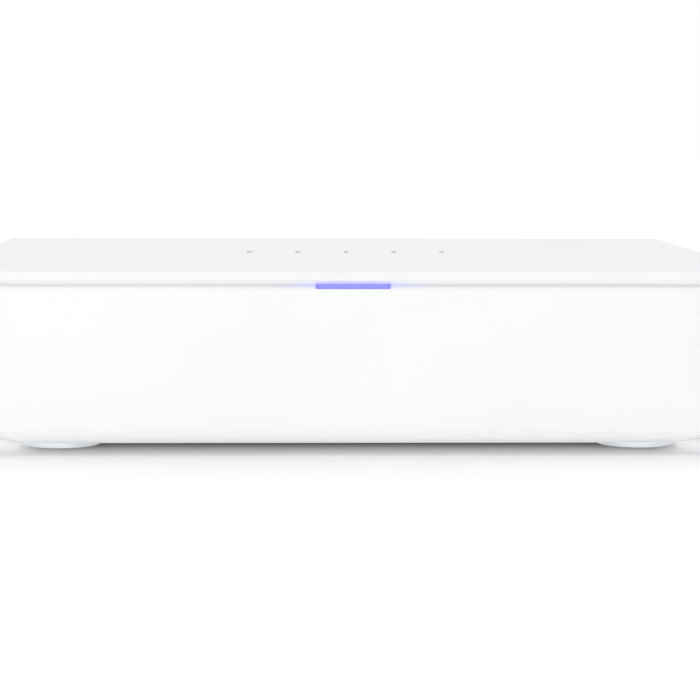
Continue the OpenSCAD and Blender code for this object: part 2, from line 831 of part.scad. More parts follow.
// One rectangular cut-out of the rear panel, for a socket that stands on the board
module panel_cut(x, w, low, h) {
    box(
        [x - w / 2 - socket_gap, panel_back_y - over, low - socket_gap],
        [x + w / 2 + socket_gap, panel_face_y + over, low + h + socket_gap]
    );
}

module rear_panel() {
    vent_z = (board_top + jack_h + socket_gap + panel_top) / 2;
    color(panel_grey) difference() {
        box([-panel_w / 2, panel_back_y, panel_z], [panel_w / 2, panel_face_y, panel_top]);
        panel_cut(lan_x, lan_w, board_top, jack_h);
        panel_cut(wan_x, wan_w, board_top, jack_h);
        panel_cut(type_a_x, type_a_w, board_top, type_a_h);
        panel_cut(type_c_x, type_c_w, board_top, type_c_h);
        panel_cut(inlet_x, inlet_w, board_top, inlet_h);
        panel_cut(switch_x, switch_body_w, switch_z - switch_body_h / 2, switch_body_h);
        rod_y(reset_x, reset_z, reset_r + reset_gap, panel_back_y - over, panel_face_y + over);
        for (i = [0:panel_vent_count - 1]) {
            x = (i - (panel_vent_count - 1) / 2) * vent_pitch;
            box(
                [x - vent_w / 2, panel_back_y - over, vent_z - panel_vent_h / 2],
                [x + vent_w / 2, panel_face_y + over, vent_z + panel_vent_h / 2]
            );
        }
    }
}

// A clear blade that takes the status light up the inside of the front to the bar that shows
module front_light_guide() {
    foot_z = board_top + light_h + light_gap;
    color(light_violet) {
        box([-bar_w / 2, guide_front_y, foot_z], [bar_w / 2, guide_back_y, bar_top]);
        box([-bar_w / 2, front_y + bar_setback, bar_z], [bar_w / 2, guide_back_y, bar_top]);
        box(
            [-light_side, guide_front_y, foot_z],
            [light_side, status_y + light_side / 2, foot_z + guide_t]
        );
    }
}

// Blades that take the port lights up to the windows, joined by a bridge on the cover's pegs
module port_light_pipes() {
    bridge_z = cover_under - pipe_bridge_drop - pipe_bridge_t;
    bridge_reach = peg_reach + peg_land;
    color(smoke) difference() {
        union() {
            for (x = window_xs) {
                box(
                    [x - window_w / 2, window_y - window_len / 2, pipe_foot_z],
                    [x + window_w / 2, window_y + window_len / 2, case_h - window_gap]
                );
            }
            box(
                [window_x - bridge_reach, window_y - pipe_bridge_w / 2, bridge_z],
                [window_x + bridge_reach, window_y + pipe_bridge_w / 2, bridge_z + pipe_bridge_t]
            );
        }
        for (side = [-1, 1]) {
            translate([window_x + side * peg_reach, window_y, bridge_z - over])
                cylinder(r = peg_r + window_gap, h = pipe_bridge_t + 2 * over);
        }
    }
}

// A round foot with a rolled lower edge
module foot(x, y) {
    color(foot_grey) translate([x * foot_x, y * foot_y, 0]) rotate_extrude() {
        translate([0, foot_edge_r]) square([foot_r, foot_h + foot_seat - foot_edge_r]);
        square([foot_r - foot_edge_r, foot_h]);
        translate([foot_r - foot_edge_r, foot_edge_r]) circle(foot_edge_r);
    }
}

module foot_front_left() { foot(-1, -1); }
module foot_front_right() { foot(1, -1); }
module foot_rear_left() { foot(-1, 1); }
module foot_rear_right() { foot(1, 1); }

module case_screws() {
    color(plated) for (p = case_screw_spots) translate([p[0], p[1], case_seat_z]) {
        cylinder(r = case_screw_r, h = case_screw_len);
        difference() {
            translate([0, 0, -case_head_h]) cylinder(r = case_head_r, h = case_head_h);
            cross_recess(case_head_r, -case_head_h, case_head_h / 2);
        }
    }
}

// A cross recess in a screw's head, sunk from one level by a depth
module cross_recess(head_r, from, depth) {
    for (turn = [0, 90]) rotate([0, 0, turn]) {
        translate([0, 0, from]) cube([1.2 * head_r, head_r / 4, 2 * depth], center = true);
    }
}

module threaded_inserts() {
    color(brass_tone) for (p = case_screw_spots) translate([p[0], p[1], boss_split_z]) {
        difference() {
            cylinder(r = insert_r, h = insert_len);
            translate([0, 0, -over])
                cylinder(r = case_screw_r + screw_gap, h = insert_len + 2 * over);
        }
    }
}

module main_board() {
    color(board_green) difference() {
        box([-board_w / 2, board_front_y, board_z], [board_w / 2, board_rear_y, board_top]);
        for (p = board_screw_spots) {
            translate([p[0], p[1], 0]) cylinder(r = board_screw_r + hole_gap, h = case_h);
        }
        for (p = sink_hole_spots) {
            translate([p[0], p[1], 0]) cylinder(r = board_screw_r + screw_gap, h = case_h);
        }
    }
}

// A screw that stands head up, given by the level under its head
module head_up_screw(p, seat, shank_r, shank_len, head_r, head_h) {
    translate([p[0], p[1], seat]) {
        translate([0, 0, -shank_len]) cylinder(r = shank_r, h = shank_len);
        difference() {
            cylinder(r = head_r, h = head_h);
            cross_recess(head_r, head_h, head_h / 2);
        }
    }
}

module board_screws() {
    color(plated) for (p = board_screw_spots) {
        head_up_screw(p, board_top, board_screw_r, board_screw_len, board_head_r, board_head_h);
    }
}

module processor() {
    color(chip_black) chip(cpu_x, cpu_y, cpu_side, cpu_side, cpu_h);
}

module thermal_pad() {
    color([0.6, 0.64, 0.7]) translate([0, 0, cpu_h]) chip(cpu_x, cpu_y, pad_side, pad_side, pad_t);
}

module heat_sink() {
    color([0.7, 0.71, 0.72]) difference() {
        union() {
            box(
                [cpu_x - sink_w / 2, cpu_y - sink_d / 2, sink_z],
                [cpu_x + sink_w / 2, cpu_y + sink_d / 2, sink_z + sink_base_t]
            );
            for (i = [0:fin_count - 1]) {
                x = cpu_x + (i - (fin_count - 1) / 2) * fin_pitch;
                box(
                    [x - fin_t / 2, cpu_y - sink_d / 2, sink_z + sink_base_t - skin],
                    [x + fin_t / 2, cpu_y + sink_d / 2, sink_z + sink_base_t + fin_h]
                );
            }
        }
        for (p = sink_hole_spots) {
            translate([p[0], p[1], 0]) cylinder(r = board_screw_r + hole_gap, h = case_h);
        }
    }
}

module heat_sink_posts() {
    color(brass_tone) for (p = sink_hole_spots) translate([p[0], p[1], board_top]) {
        difference() {
            cylinder(r = sink_post_r, h = sink_z - board_top);
            translate([0, 0, -over]) cylinder(r = board_screw_r + screw_gap, h = sink_z);
        }
    }
}

module heat_sink_screws() {
    seat = sink_z + sink_base_t;
    color(plated) for (p = sink_hole_spots) {
        head_up_screw(p, seat, board_screw_r, seat - board_z, sink_head_r, sink_head_h);
    }
}

module memory_chips() {
    x = cpu_x - sink_w / 2 - memory_w;
    color(chip_black) for (i = [0:memory_count - 1]) {
        chip(x, cpu_y + (i - (memory_count - 1) / 2) * memory_pitch, memory_w, memory_d, memory_h);
    }
}

module storage_chip() {
    color(chip_black)
        chip(storage_x, board_front_y + storage_inset, storage_w, storage_d, storage_h);
}

module switch_chip() {
    y = board_rear_y - switch_chip_inset;
    color(chip_black) chip(lan_x, y, switch_chip_side, switch_chip_side, switch_chip_h);
}

module line_transformers() {
    y = socket_face_y - jack_d - transformer_d;
    color(chip_black) for (x = concat(lan_xs, [wan_x])) {
        chip(x, y, transformer_w, transformer_d, transformer_h);
    }
}

module power_capacitors() {
    y = board_rear_y - board_rear_inset - 2 * capacitor_r;
    color([0.16, 0.17, 0.22]) for (i = [0, 1], j = [0, 1]) {
        translate([inlet_x - capacitor_pitch / 2 + i * capacitor_pitch, y - j * capacitor_pitch, board_top])
            cylinder(r = capacitor_r, h = capacitor_h);
    }
}

module power_inductors() {
    x = inlet_x - 2 * capacitor_pitch;
    y = board_rear_y - board_rear_inset - inductor_side;
    color([0.3, 0.3, 0.31]) for (i = [0, 1]) {
        chip(x, y - i * inductor_pitch, inductor_side, inductor_side, inductor_h);
    }
}

// Middle of the clock battery and its holder
battery_spot = [battery_x, board_front_y + battery_inset];

module battery_holder() {
    outer_r = battery_r + battery_gap + holder_t;
    color(chip_black) translate([battery_spot[0], battery_spot[1], board_top]) difference() {
        cylinder(r = outer_r, h = holder_t + battery_t);
        translate([0, 0, holder_t]) cylinder(r = battery_r + battery_gap, h = battery_t + over);
    }
}

module clock_battery() {
    color(plated) translate([battery_spot[0], battery_spot[1], board_top + holder_t])
        cylinder(r = battery_r, h = battery_t);
}

// A jack with a socket, a latch notch and two indicator pockets at each place
module jack(x, w, socket_xs) {
    color(socket_black) difference() {
        box([x - w / 2, socket_face_y - jack_d, board_top], [x + w / 2, socket_face_y, board_top + jack_h]);
        for (sx = socket_xs) {
            box(
                [sx - socket_w / 2, socket_back_y, socket_z],
                [sx + socket_w / 2, socket_face_y + over, socket_top]
            );
            box(
                [sx - latch_w / 2, socket_back_y, socket_z - latch_h],
                [sx + latch_w / 2, socket_face_y + over, socket_z + skin]
            );
            for (side = [-1, 1]) jack_light(sx, side, over);
        }
    }
}

// An indicator at the top of a socket, on one side, running past the face by an overrun
module jack_light(sx, side, past) {
    roof = board_top + jack_h - socket_top;
    x = sx + side * (socket_w - jack_light_w) / 2;
    z = socket_top + roof / 2;
    box(
        [x - jack_light_w / 2, socket_face_y - roof, z - jack_light_h / 2],
        [x + jack_light_w / 2, socket_face_y + past, z + jack_light_h / 2]
    );
}

// The sprung contacts of one socket, sloping from its ceiling down to its back
module contacts(sx) {
    front = socket_face_y - contact_setback;
    for (i = [0:contact_count - 1]) {
        x = sx + (i - (contact_count - 1) / 2) * contact_pitch;
        translate([x - contact_w / 2, 0, 0]) rotate([90, 0, 90]) linear_extrude(contact_w) polygon([
            [front, socket_top],
            [front - 2 * contact_t, socket_top],
            [socket_back_y, socket_top - contact_drop + contact_t],
            [socket_back_y, socket_top - contact_drop]
        ]);
    }
}

module lan_jack_block() { jack(lan_x, lan_w, lan_xs); }
module lan_contacts() { color(gold) for (x = lan_xs) contacts(x); }
module wan_jack() { jack(wan_x, wan_w, [wan_x]); }
module wan_contacts() { color(gold) contacts(wan_x); }

module jack_lights() {
    color([0.75, 0.85, 0.7]) for (x = concat(lan_xs, [wan_x]), side = [-1, 1]) jack_light(x, side, 0);
}

module type_a_shell() {
    half_w = type_a_w / 2 - data_shell_t;
    color(plated) difference() {
        box(
            [type_a_x - type_a_w / 2, socket_face_y - type_a_d, board_top],
            [type_a_x + type_a_w / 2, socket_face_y, board_top + type_a_h]
        );
        box(
            [type_a_x - half_w, socket_face_y - type_a_d + data_back_t, board_top + data_shell_t],
            [type_a_x + half_w, socket_face_y + over, board_top + type_a_h - data_shell_t]
        );
    }
}

module type_a_tongue() {
    half_w = type_a_w / 2 - tongue_inset;
    z = board_top + type_a_tongue_rise - type_a_tongue_t / 2;
    color([0.2, 0.36, 0.66]) box(
        [type_a_x - half_w, socket_face_y - type_a_d + data_back_t, z],
        [type_a_x + half_w, socket_face_y - type_a_tongue_setback, z + type_a_tongue_t]
    );
}

// A flat oval along Y, given by its size and its ends
module oval_y(x, z, w, h, from, to) {
    translate([x, to, z]) rotate([90, 0, 0]) linear_extrude(to - from) {
        square([w - h, h], center = true);
        for (side = [-1, 1]) translate([side * (w - h) / 2, 0]) circle(d = h);
    }
}

module type_c_shell() {
    z = board_top + type_c_h / 2;
    bore_w = type_c_w - 2 * data_shell_t;
    bore_h = type_c_h - 2 * data_shell_t;
    back = socket_face_y - type_c_d;
    color(plated) difference() {
        oval_y(type_c_x, z, type_c_w, type_c_h, back, socket_face_y);
        oval_y(type_c_x, z, bore_w, bore_h, back + data_back_t, socket_face_y + over);
    }
}

module type_c_tongue() {
    half_w = type_c_w / 2 - tongue_inset;
    z = board_top + (type_c_h - type_c_tongue_t) / 2;
    color(chip_black) box(
        [type_c_x - half_w, socket_face_y - type_c_d + data_back_t, z],
        [type_c_x + half_w, socket_face_y - type_c_tongue_setback, z + type_c_tongue_t]
    );
}

module power_inlet() {
    z = board_top + inlet_h / 2;
    color(socket_black) difference() {
        box(
            [inlet_x - inlet_w / 2, socket_face_y - inlet_d, board_top],
            [inlet_x + inlet_w / 2, socket_face_y, board_top + inlet_h]
        );
        rod_y(inlet_x, z, inlet_bore_r, socket_face_y - inlet_bore_d, socket_face_y + over);
    }
}

module inlet_pin() {
    root_y = socket_face_y - inlet_bore_d;
    tip_y = socket_face_y - inlet_pin_setback - inlet_pin_r;
    color(plated) translate([inlet_x, 0, board_top + inlet_h / 2]) rotate([-90, 0, 0]) rotate_extrude() {
        translate([0, root_y]) square([inlet_pin_r, tip_y - root_y]);
        intersection() {
            translate([0, tip_y]) circle(inlet_pin_r);
            translate([0, tip_y]) square(inlet_pin_r);
        }
    }
}

module power_switch_frame() {
    back_y = panel_face_y - switch_d;
    color(socket_black) difference() {
        union() {
            box(
                [switch_x - switch_body_w / 2, back_y, switch_z - switch_body_h / 2],
                [switch_x + switch_body_w / 2, panel_face_y + skin, switch_z + switch_body_h / 2]
            );
            box(
                [switch_x - switch_w / 2 - bezel_w, panel_face_y, switch_z - switch_h / 2 - bezel_w],
                [switch_x + switch_w / 2 + bezel_w, panel_face_y + bezel_t, switch_z + switch_h / 2 + bezel_w]
            );
        }
        box(
            [switch_x - switch_w / 2, back_y + switch_back_t, switch_z - switch_h / 2],
            [switch_x + switch_w / 2, rear_y, switch_z + switch_h / 2]
        );
        translate([switch_x - case_w / 2, pivot_y, switch_z]) rotate([0, 90, 0])
            cylinder(r = rocker_pin_r + screw_gap, h = case_w);
    }
}

// The rocker's section: a shallow V-shaped face, round ends about the pivot, and a round hub
module rocker_section() {
    end_rise = rocker_rise + rocker_r * tan(rocker_slope);
    difference() {
        union() {
            intersection() {
                circle(rocker_r);
                polygon([
                    [-rocker_r, -rocker_back], [rocker_r, -rocker_back],
                    [rocker_r, end_rise], [0, rocker_rise], [-rocker_r, end_rise]
                ]);
            }
            translate([0, -rocker_back]) intersection() {
                circle(rocker_hub_r);
                translate([-rocker_hub_r, -2 * rocker_hub_r]) square(2 * rocker_hub_r);
            }
        }
        circle(rocker_pin_r + pin_gap);
    }
}

module power_rocker() {
    color([0.14, 0.14, 0.15]) translate([switch_x - rocker_w / 2, pivot_y, switch_z])
        rotate([rocker_tilt, 0, 0]) rotate([90, 0, 90]) rotate([0, 0, -90])
            linear_extrude(rocker_w) rocker_section();
}

module rocker_pin() {
    color(plated) translate([switch_x - switch_body_w / 2, pivot_y, switch_z]) rotate([0, 90, 0])
        cylinder(r = rocker_pin_r, h = switch_body_w);
}

module reset_switch() {
    color(chip_black) difference() {
        box(
            [reset_x - reset_body_w / 2, reset_body_y, board_top],
            [reset_x + reset_body_w / 2, board_rear_y, board_top + reset_body_h]
        );
        rod_y(reset_x, reset_z, reset_r + reset_gap, reset_bore_y, board_rear_y + over);
    }
}

module reset_button() {
    color([0.85, 0.85, 0.86])
        rod_y(reset_x, reset_z, reset_r, reset_bore_y + reset_travel + reset_gap, reset_tip_y);
}

module status_light() {
    color([0.8, 0.8, 1]) chip(0, status_y, light_side, light_side, light_h);
}

module port_lights() {
    color([0.8, 0.95, 0.8]) for (x = window_xs) chip(x, window_y, light_side, light_side, light_h);
}

module lock_plate() {
    inner_x = case_w / 2 - wall;
    mid_y = rear_y - lock_inset_y;
    color(plated) difference() {
        box(
            [inner_x - lock_plate_t, mid_y - lock_slot_w, lock_low_z],
            [inner_x, mid_y + lock_slot_w, lock_high_z]
        );
        lock_cut(inner_x - lock_plate_t - over, inner_x + over);
    }
}

lower_shell();
top_cover();
rear_panel();
front_light_guide();
port_light_pipes();
foot_front_left();
foot_front_right();
foot_rear_left();
foot_rear_right();
case_screws();
threaded_inserts();
main_board();
board_screws();
processor();
thermal_pad();
heat_sink();
heat_sink_posts();
heat_sink_screws();
memory_chips();
storage_chip();
switch_chip();
line_transformers();
power_capacitors();
power_inductors();
battery_holder();
clock_battery();
lan_jack_block();
lan_contacts();
wan_jack();
wan_contacts();
jack_lights();
type_a_shell();
type_a_tongue();
type_c_shell();
type_c_tongue();
power_inlet();
inlet_pin();
power_switch_frame();
power_rocker();
rocker_pin();
reset_switch();
reset_button();
status_light();
port_lights();
lock_plate();
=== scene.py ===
"""Desktop firewall appliance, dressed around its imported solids.

The solids load as a fixed frame. The moulded case, the panel, the sockets, the chips and the screws
get merged copies of their solids, most with eased edges. The feet, connector shells, springs, contact
strips, marks, capacitors, chip leads and the rim of the light bar are surfaces worked out with numpy,
and every piece has a finish made of nodes. All places are in metres, in the frame of the solids: X to
the right seen from the front, Y to the rear, Z up.
"""
import math

import bmesh
import bpy
import numpy as np
from mathutils import Matrix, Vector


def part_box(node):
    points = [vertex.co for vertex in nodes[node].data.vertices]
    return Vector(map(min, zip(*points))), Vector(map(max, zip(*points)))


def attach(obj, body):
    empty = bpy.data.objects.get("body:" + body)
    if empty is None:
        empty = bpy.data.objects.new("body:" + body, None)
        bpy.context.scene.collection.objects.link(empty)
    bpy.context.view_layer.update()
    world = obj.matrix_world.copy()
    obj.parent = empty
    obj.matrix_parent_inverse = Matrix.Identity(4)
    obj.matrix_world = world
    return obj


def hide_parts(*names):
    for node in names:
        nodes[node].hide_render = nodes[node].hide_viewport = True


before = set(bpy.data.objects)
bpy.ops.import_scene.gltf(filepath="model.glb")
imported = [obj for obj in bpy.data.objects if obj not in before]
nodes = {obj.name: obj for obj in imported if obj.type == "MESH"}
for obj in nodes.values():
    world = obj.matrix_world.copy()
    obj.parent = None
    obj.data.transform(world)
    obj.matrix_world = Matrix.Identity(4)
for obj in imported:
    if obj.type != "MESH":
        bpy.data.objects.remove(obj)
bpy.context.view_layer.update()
scene = bpy.context.scene
MM = 0.001
ACROSS, DEEP, UP = 0, 1, 2

# How meshes are made: the gap under which points are one, the angles in degrees under which faces are
# joined and over which edges stay sharp, and the steps of eased edges, corners and round forms
MERGE_REACH = 0.002 * MM
FLAT_ANGLE = 0.2
SHARP_ANGLE = 30
EASE_STEPS = 2
CORNER_STEPS = 6
FINE_CORNER_STEPS = 8
ROUND_COLUMNS = 40

# Camera: its place, its three turns in degrees, and its lens on a square picture
CAMERA_PLACE = np.array([-19.711, -661.997, 84.800]) * MM
CAMERA_YAW = 1.880
CAMERA_PITCH = 5.691
CAMERA_ROLL = 0.191
PICTURE_SIDE = 700
FOCAL_PIXELS = 2293.5
SENSOR_WIDTH = 36.0
CLIP_NEAR = 0.01
CLIP_FAR = 100

# The status light bar in the front's upper edge
BAR_HALF = 9.2 * MM
BAR_LOW = 42.84 * MM
BAR_TOP = 43.68 * MM
FRONT_FACE = -85.0 * MM

# Levels that the pieces at the rear and on the board follow
PANEL_FACE = 81.5 * MM
SOCKET_FACE = 82.0 * MM
BOARD_TOP = 15.0 * MM
UNDERSIDE = 3.0 * MM


# Meshes

def merged_mesh(solid, name, sharp_angle):
    """The mesh of a CAD node with its doubles merged, its flat faces joined and its edges marked.

    Edges that turn by more than the sharp angle stay sharp, and all others are shaded smooth."""
    form = bmesh.new()
    form.from_mesh(nodes[solid].data)
    bmesh.ops.remove_doubles(form, verts=form.verts, dist=MERGE_REACH)
    flat = math.radians(FLAT_ANGLE)
    bmesh.ops.dissolve_limit(form, angle_limit=flat, verts=form.verts, edges=form.edges)
    mesh = bpy.data.meshes.new(name)
    form.to_mesh(mesh)
    form.free()
    if "custom_normal" in mesh.attributes:
        mesh.attributes.remove(mesh.attributes["custom_normal"])
    mesh.shade_smooth()
    mesh.set_sharp_from_angle(angle=math.radians(sharp_angle))
    return mesh


def form_mesh(name, points, faces, sharp_angle=SHARP_ANGLE):
    """A mesh from arrays, with its seams and poles closed and its normals turned outwards."""
    mesh = bpy.data.meshes.new(name)
    mesh.from_pydata(np.asarray(points).tolist(), [], faces)
    form = bmesh.new()
    form.from_mesh(mesh)
    bmesh.ops.remove_doubles(form, verts=form.verts, dist=MERGE_REACH)
    bmesh.ops.recalc_face_normals(form, faces=form.faces)
    form.to_mesh(mesh)
    form.free()
    mesh.shade_smooth()
    mesh.set_sharp_from_angle(angle=math.radians(sharp_angle))
    return mesh


def place_piece(name, mesh, finish, replaced=(), body="case", ease=0.0, sharp_angle=SHARP_ANGLE):
    """Puts a finished mesh into the scene as a piece that rides on a body.

    With an ease, edges that turn by more than the sharp angle are rounded by that radius."""
    piece = bpy.data.objects.new(name, mesh)
    scene.collection.objects.link(piece)
    mesh.materials.clear()
    mesh.materials.append(finish)
    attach(piece, body)
    if replaced:
        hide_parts(*replaced)
    if ease:
        easing = piece.modifiers.new("ease", "BEVEL")
        easing.width = ease
        easing.segments = EASE_STEPS
        easing.limit_method = "ANGLE"
        easing.angle_limit = math.radians(sharp_angle)
        easing.harden_normals = True
    return piece


def eased_copy(solid, name, finish, ease=0.0, sharp_angle=SHARP_ANGLE, body="case"):
    """A merged copy of a CAD node that stands for it, with its sharp edges eased by a radius.

    Without an ease, its shading leans on the larger faces."""
    mesh = merged_mesh(solid, name, sharp_angle)
    piece = place_piece(name, mesh, finish, [solid], body, ease, sharp_angle)
    if not ease:
        weighting = piece.modifiers.new("weigh", "WEIGHTED_NORMAL")
        weighting.keep_sharp = True
    return piece


def grid_faces(rows, columns, closed_rows, closed_columns):
    """Four-cornered faces of a grid of points; a closed direction joins its end to its start."""
    row, column = np.meshgrid(
        np.arange(rows if closed_rows else rows - 1),
        np.arange(columns if closed_columns else columns - 1),
        indexing="ij",
    )
    next_row = (row + 1) % rows
    next_column = (column + 1) % columns
    corners = [
        row * columns + column, row * columns + next_column,
        next_row * columns + next_column, next_row * columns + column,
    ]
    return np.stack(corners, axis=-1).reshape(-1, 4).tolist()


def joined(forms):
    """Several forms of points and faces as one form."""
    starts = np.cumsum([0] + [len(points) for points, faces in forms])
    points = np.concatenate([points for points, faces in forms])
    faces = [
        [corner + start for corner in face]
        for start, form in zip(starts.tolist(), forms)
        for face in form[1]
    ]
    return points, faces


def turned(profile, centre, axis=UP, columns=ROUND_COLUMNS):
    """A profile of radius and height turned about an axis through a centre.

    A point is the centre, plus the radius times the cosine and the sine of an angle along the two
    other axes, plus the height along the axis. Rows follow the profile, columns the angle, and a
    profile that starts or ends on the axis closes there in a pole."""
    radius, height = np.asarray(profile, float).T
    angle = np.linspace(0, 2 * np.pi, columns, endpoint=False)
    grid = np.empty((len(radius), columns, 3))
    grid[..., (axis + 1) % 3] = radius[:, None] * np.cos(angle)
    grid[..., (axis + 2) % 3] = radius[:, None] * np.sin(angle)
    grid[..., axis] = height[:, None]
    return (grid + centre).reshape(-1, 3), grid_faces(len(radius), columns, False, True)


def rounded_ring(width, height, corner, steps=CORNER_STEPS):
    """A rectangle with round corners, as quarter circles about the centres of its four corners."""
    angle = np.linspace(0, np.pi / 2, steps + 1) + np.arange(4)[:, None] * np.pi / 2
    middle_x = (width / 2 - corner) * np.array([1, -1, -1, 1])[:, None]
    middle_y = (height / 2 - corner) * np.array([1, 1, -1, -1])[:, None]
    ring = [middle_x + corner * np.cos(angle), middle_y + corner * np.sin(angle)]
    return np.stack(ring, axis=-1).reshape(-1, 2)


def lofted(rings, axis, levels, centre):
    """Flat rings joined in order, each lying across an axis at its own level about a centre.

    Rows are the rings and columns run round them. A flat face closes the first and the last."""
    flat = np.asarray(rings)
    count, columns = flat.shape[:2]
    grid = np.empty((count, columns, 3))
    others = [side for side in (ACROSS, DEEP, UP) if side != axis]
    grid[..., others[0]] = flat[..., 0] + centre[0]
    grid[..., others[1]] = flat[..., 1] + centre[1]
    grid[..., axis] = np.asarray(levels)[:, None]
    ends = np.arange(columns)
    caps = [ends[::-1].tolist(), (ends + (count - 1) * columns).tolist()]
    return grid.reshape(-1, 3), grid_faces(count, columns, False, True) + caps


def strips(middles, half_width, section):
    """Flat strips side by side along X: one closed section of depth and height at each middle.

    A point is the middle less or plus half the width, with the section's own depth and height."""
    outline = np.asarray(section, float)
    corners = len(outline)
    one = np.empty((2, corners, 3))
    one[..., ACROSS] = np.array([-half_width, half_width])[:, None]
    one[..., DEEP] = outline[:, 0]
    one[..., UP] = outline[:, 1]
    ends = np.arange(corners)
    faces = grid_faces(2, corners, False, True) + [ends[::-1].tolist(), (ends + corners).tolist()]
    shift = np.zeros((len(middles), 1, 3))
    shift[:, 0, ACROSS] = middles
    points = (one.reshape(1, -1, 3) + shift).reshape(-1, 3)
    starts = np.arange(len(middles)) * 2 * corners
    every = [[corner + start for corner in face] for start in starts.tolist() for face in faces]
    return points, every


# Finishes

# The noise in every finish: its detail, and the middle of its range, which is spread out
NOISE_DETAIL = 2.0
NOISE_LOW = 0.3
NOISE_HIGH = 0.7


def new_finish(name):
    """An empty finish: its node tree, its shader and the piece's own coordinates."""
    material = bpy.data.materials.new(name)
    material.use_nodes = True
    tree = material.node_tree
    place = tree.nodes.new("ShaderNodeTexCoord")
    return material, tree, tree.nodes["Principled BSDF"], place.outputs["Object"]


def add_node(tree, kind, inputs=(), **settings):
    """A new node with its settings, and its inputs given as values or as other nodes' outputs."""
    made = tree.nodes.new(kind)
    for key, value in settings.items():
        setattr(made, key, value)
    for key, value in dict(inputs).items():
        if isinstance(value, bpy.types.NodeSocket):
            tree.links.new(value, made.inputs[key])
        else:
            made.inputs[key].default_value = value
    return made


def sum_node(tree, operation, *values):
    """The result of one sum on one, two or three values."""
    return add_node(tree, "ShaderNodeMath", enumerate(values), operation=operation).outputs[0]


def product(tree, *values):
    """The product of several values."""
    result = values[0]
    for value in values[1:]:
        result = sum_node(tree, "MULTIPLY", result, value)
    return result


def distance(tree, place):
    """The length of a step from the origin."""
    return add_node(tree, "ShaderNodeVectorMath", {0: place}, operation="LENGTH").outputs["Value"]


def ramp(tree, value, start, stop, low=0.0, high=1.0):
    """A soft step: low before the start, high past the stop, and a smooth rise between them."""
    ranged = add_node(tree, "ShaderNodeMapRange", {
        "Value": value, "From Min": start, "From Max": stop, "To Min": low, "To Max": high,
    }, interpolation_type="SMOOTHSTEP")
    return ranged.outputs["Result"]


def grain(tree, place, size, stretch=(1, 1, 1)):
    """Noise of about one size in metres, drawn out along an axis by a smaller factor there."""
    scaled = add_node(tree, "ShaderNodeMapping", {"Vector": place, "Scale": stretch})
    noise = add_node(tree, "ShaderNodeTexNoise", {
        "Vector": scaled.outputs["Vector"], "Scale": 1 / size, "Detail": NOISE_DETAIL,
    })
    return noise.outputs["Fac"]


def spread(tree, value, low, high):
    """The middle of a noise's range spread between two numbers."""
    ranged = add_node(tree, "ShaderNodeMapRange", {
        "Value": value, "From Min": NOISE_LOW, "From Max": NOISE_HIGH, "To Min": low, "To Max": high,
    })
    return ranged.outputs["Result"]


def two_tone(tree, factor, first, second):
    """A colour between two colours."""
    mixed = add_node(tree, "ShaderNodeMix", data_type="RGBA")
    tree.links.new(factor, mixed.inputs["Factor"])
    for socket, colour in (("A_Color", first), ("B_Color", second)):
        found = next(s for s in mixed.inputs if s.identifier == socket)
        if isinstance(colour, bpy.types.NodeSocket):
            tree.links.new(colour, found)
        else:
            found.default_value = (*colour, 1)
    return next(s for s in mixed.outputs if s.identifier == "Result_Color")


def relief(tree, shader, height, depth):
    """Lifts the surface by a height pattern, at most by a depth in metres."""
    bump = add_node(tree, "ShaderNodeBump", {"Height": height, "Distance": depth, "Strength": 1.0})
    tree.links.new(bump.outputs["Normal"], shader.inputs["Normal"])


def set_sockets(shader, sockets):
    """Sets the shader's own sockets by name, with spaces written as underscores."""
    for key, value in sockets.items():
        shader.inputs[key.replace("_", " ")].default_value = value


def grained(name, dark, light, rough, size, depth, cloud=30 * MM, stretch=(1, 1, 1), **sockets):
    """A finish with two tones in soft clouds, and a fine grain that lifts and roughens it."""
    material, tree, shader, place = new_finish(name)
    clouds = spread(tree, grain(tree, place, cloud), 0, 1)
    fine = grain(tree, place, size, stretch=stretch)
    tree.links.new(two_tone(tree, clouds, dark, light), shader.inputs["Base Color"])
    tree.links.new(spread(tree, fine, *rough), shader.inputs["Roughness"])
    relief(tree, shader, fine, depth)
    set_sockets(shader, sockets)
    return material


# The case's white plastic: its two tones, clouds, grain and gloss
CASE_DARK = (0.795, 0.797, 0.800)
CASE_LIGHT = (0.812, 0.814, 0.816)
CASE_CLOUD = 50 * MM
CASE_GRAIN = 0.25 * MM
CASE_RELIEF = 0.006 * MM
CASE_ROUGH = (0.4, 0.48)
CASE_GLOSS = 0.3

# Painted light of the bar on the case: a violet tint painted into its colour and a weak painted glow, and
# how far they reach past the ends, up, down and back
PAINTED_GLOW_COLOUR = (0.05, 0.05, 0.95)
PAINTED_GLOW_TINT = 0.37
GLOW_SHINE = 0.55
GLOW_SHINE_COLOUR = (0.15, 0.15, 1.0, 1)
GLOW_NEAR = 1.0 * MM
GLOW_FAR = 14 * MM
GLOW_FAR_SHARE = 0.2
GLOW_UP = 1.35 * MM
GLOW_DOWN = 0.25 * MM
GLOW_START = BAR_TOP + 0.07 * MM
GLOW_BACK = (FRONT_FACE + 1.5 * MM, FRONT_FACE + 3 * MM)

# The lit end of the light guide: its tone, and the deeper tone along its ends and its lower edge
BAR_COLOUR = (0.31, 0.31, 0.90)
BAR_RIM_COLOUR = (0.25, 0.24, 0.74)
BAR_UNLIT = (0.02, 0.02, 0.05, 1)
BAR_ROUGH = 0.35
BAR_GLOSS = 0.1
BAR_ENDS = (BAR_HALF - 0.55 * MM, BAR_HALF - 0.1 * MM)
BAR_FOOT = (BAR_LOW + 0.05 * MM, BAR_LOW + 0.25 * MM)
BAR_FOOT_SHARE = 0.45

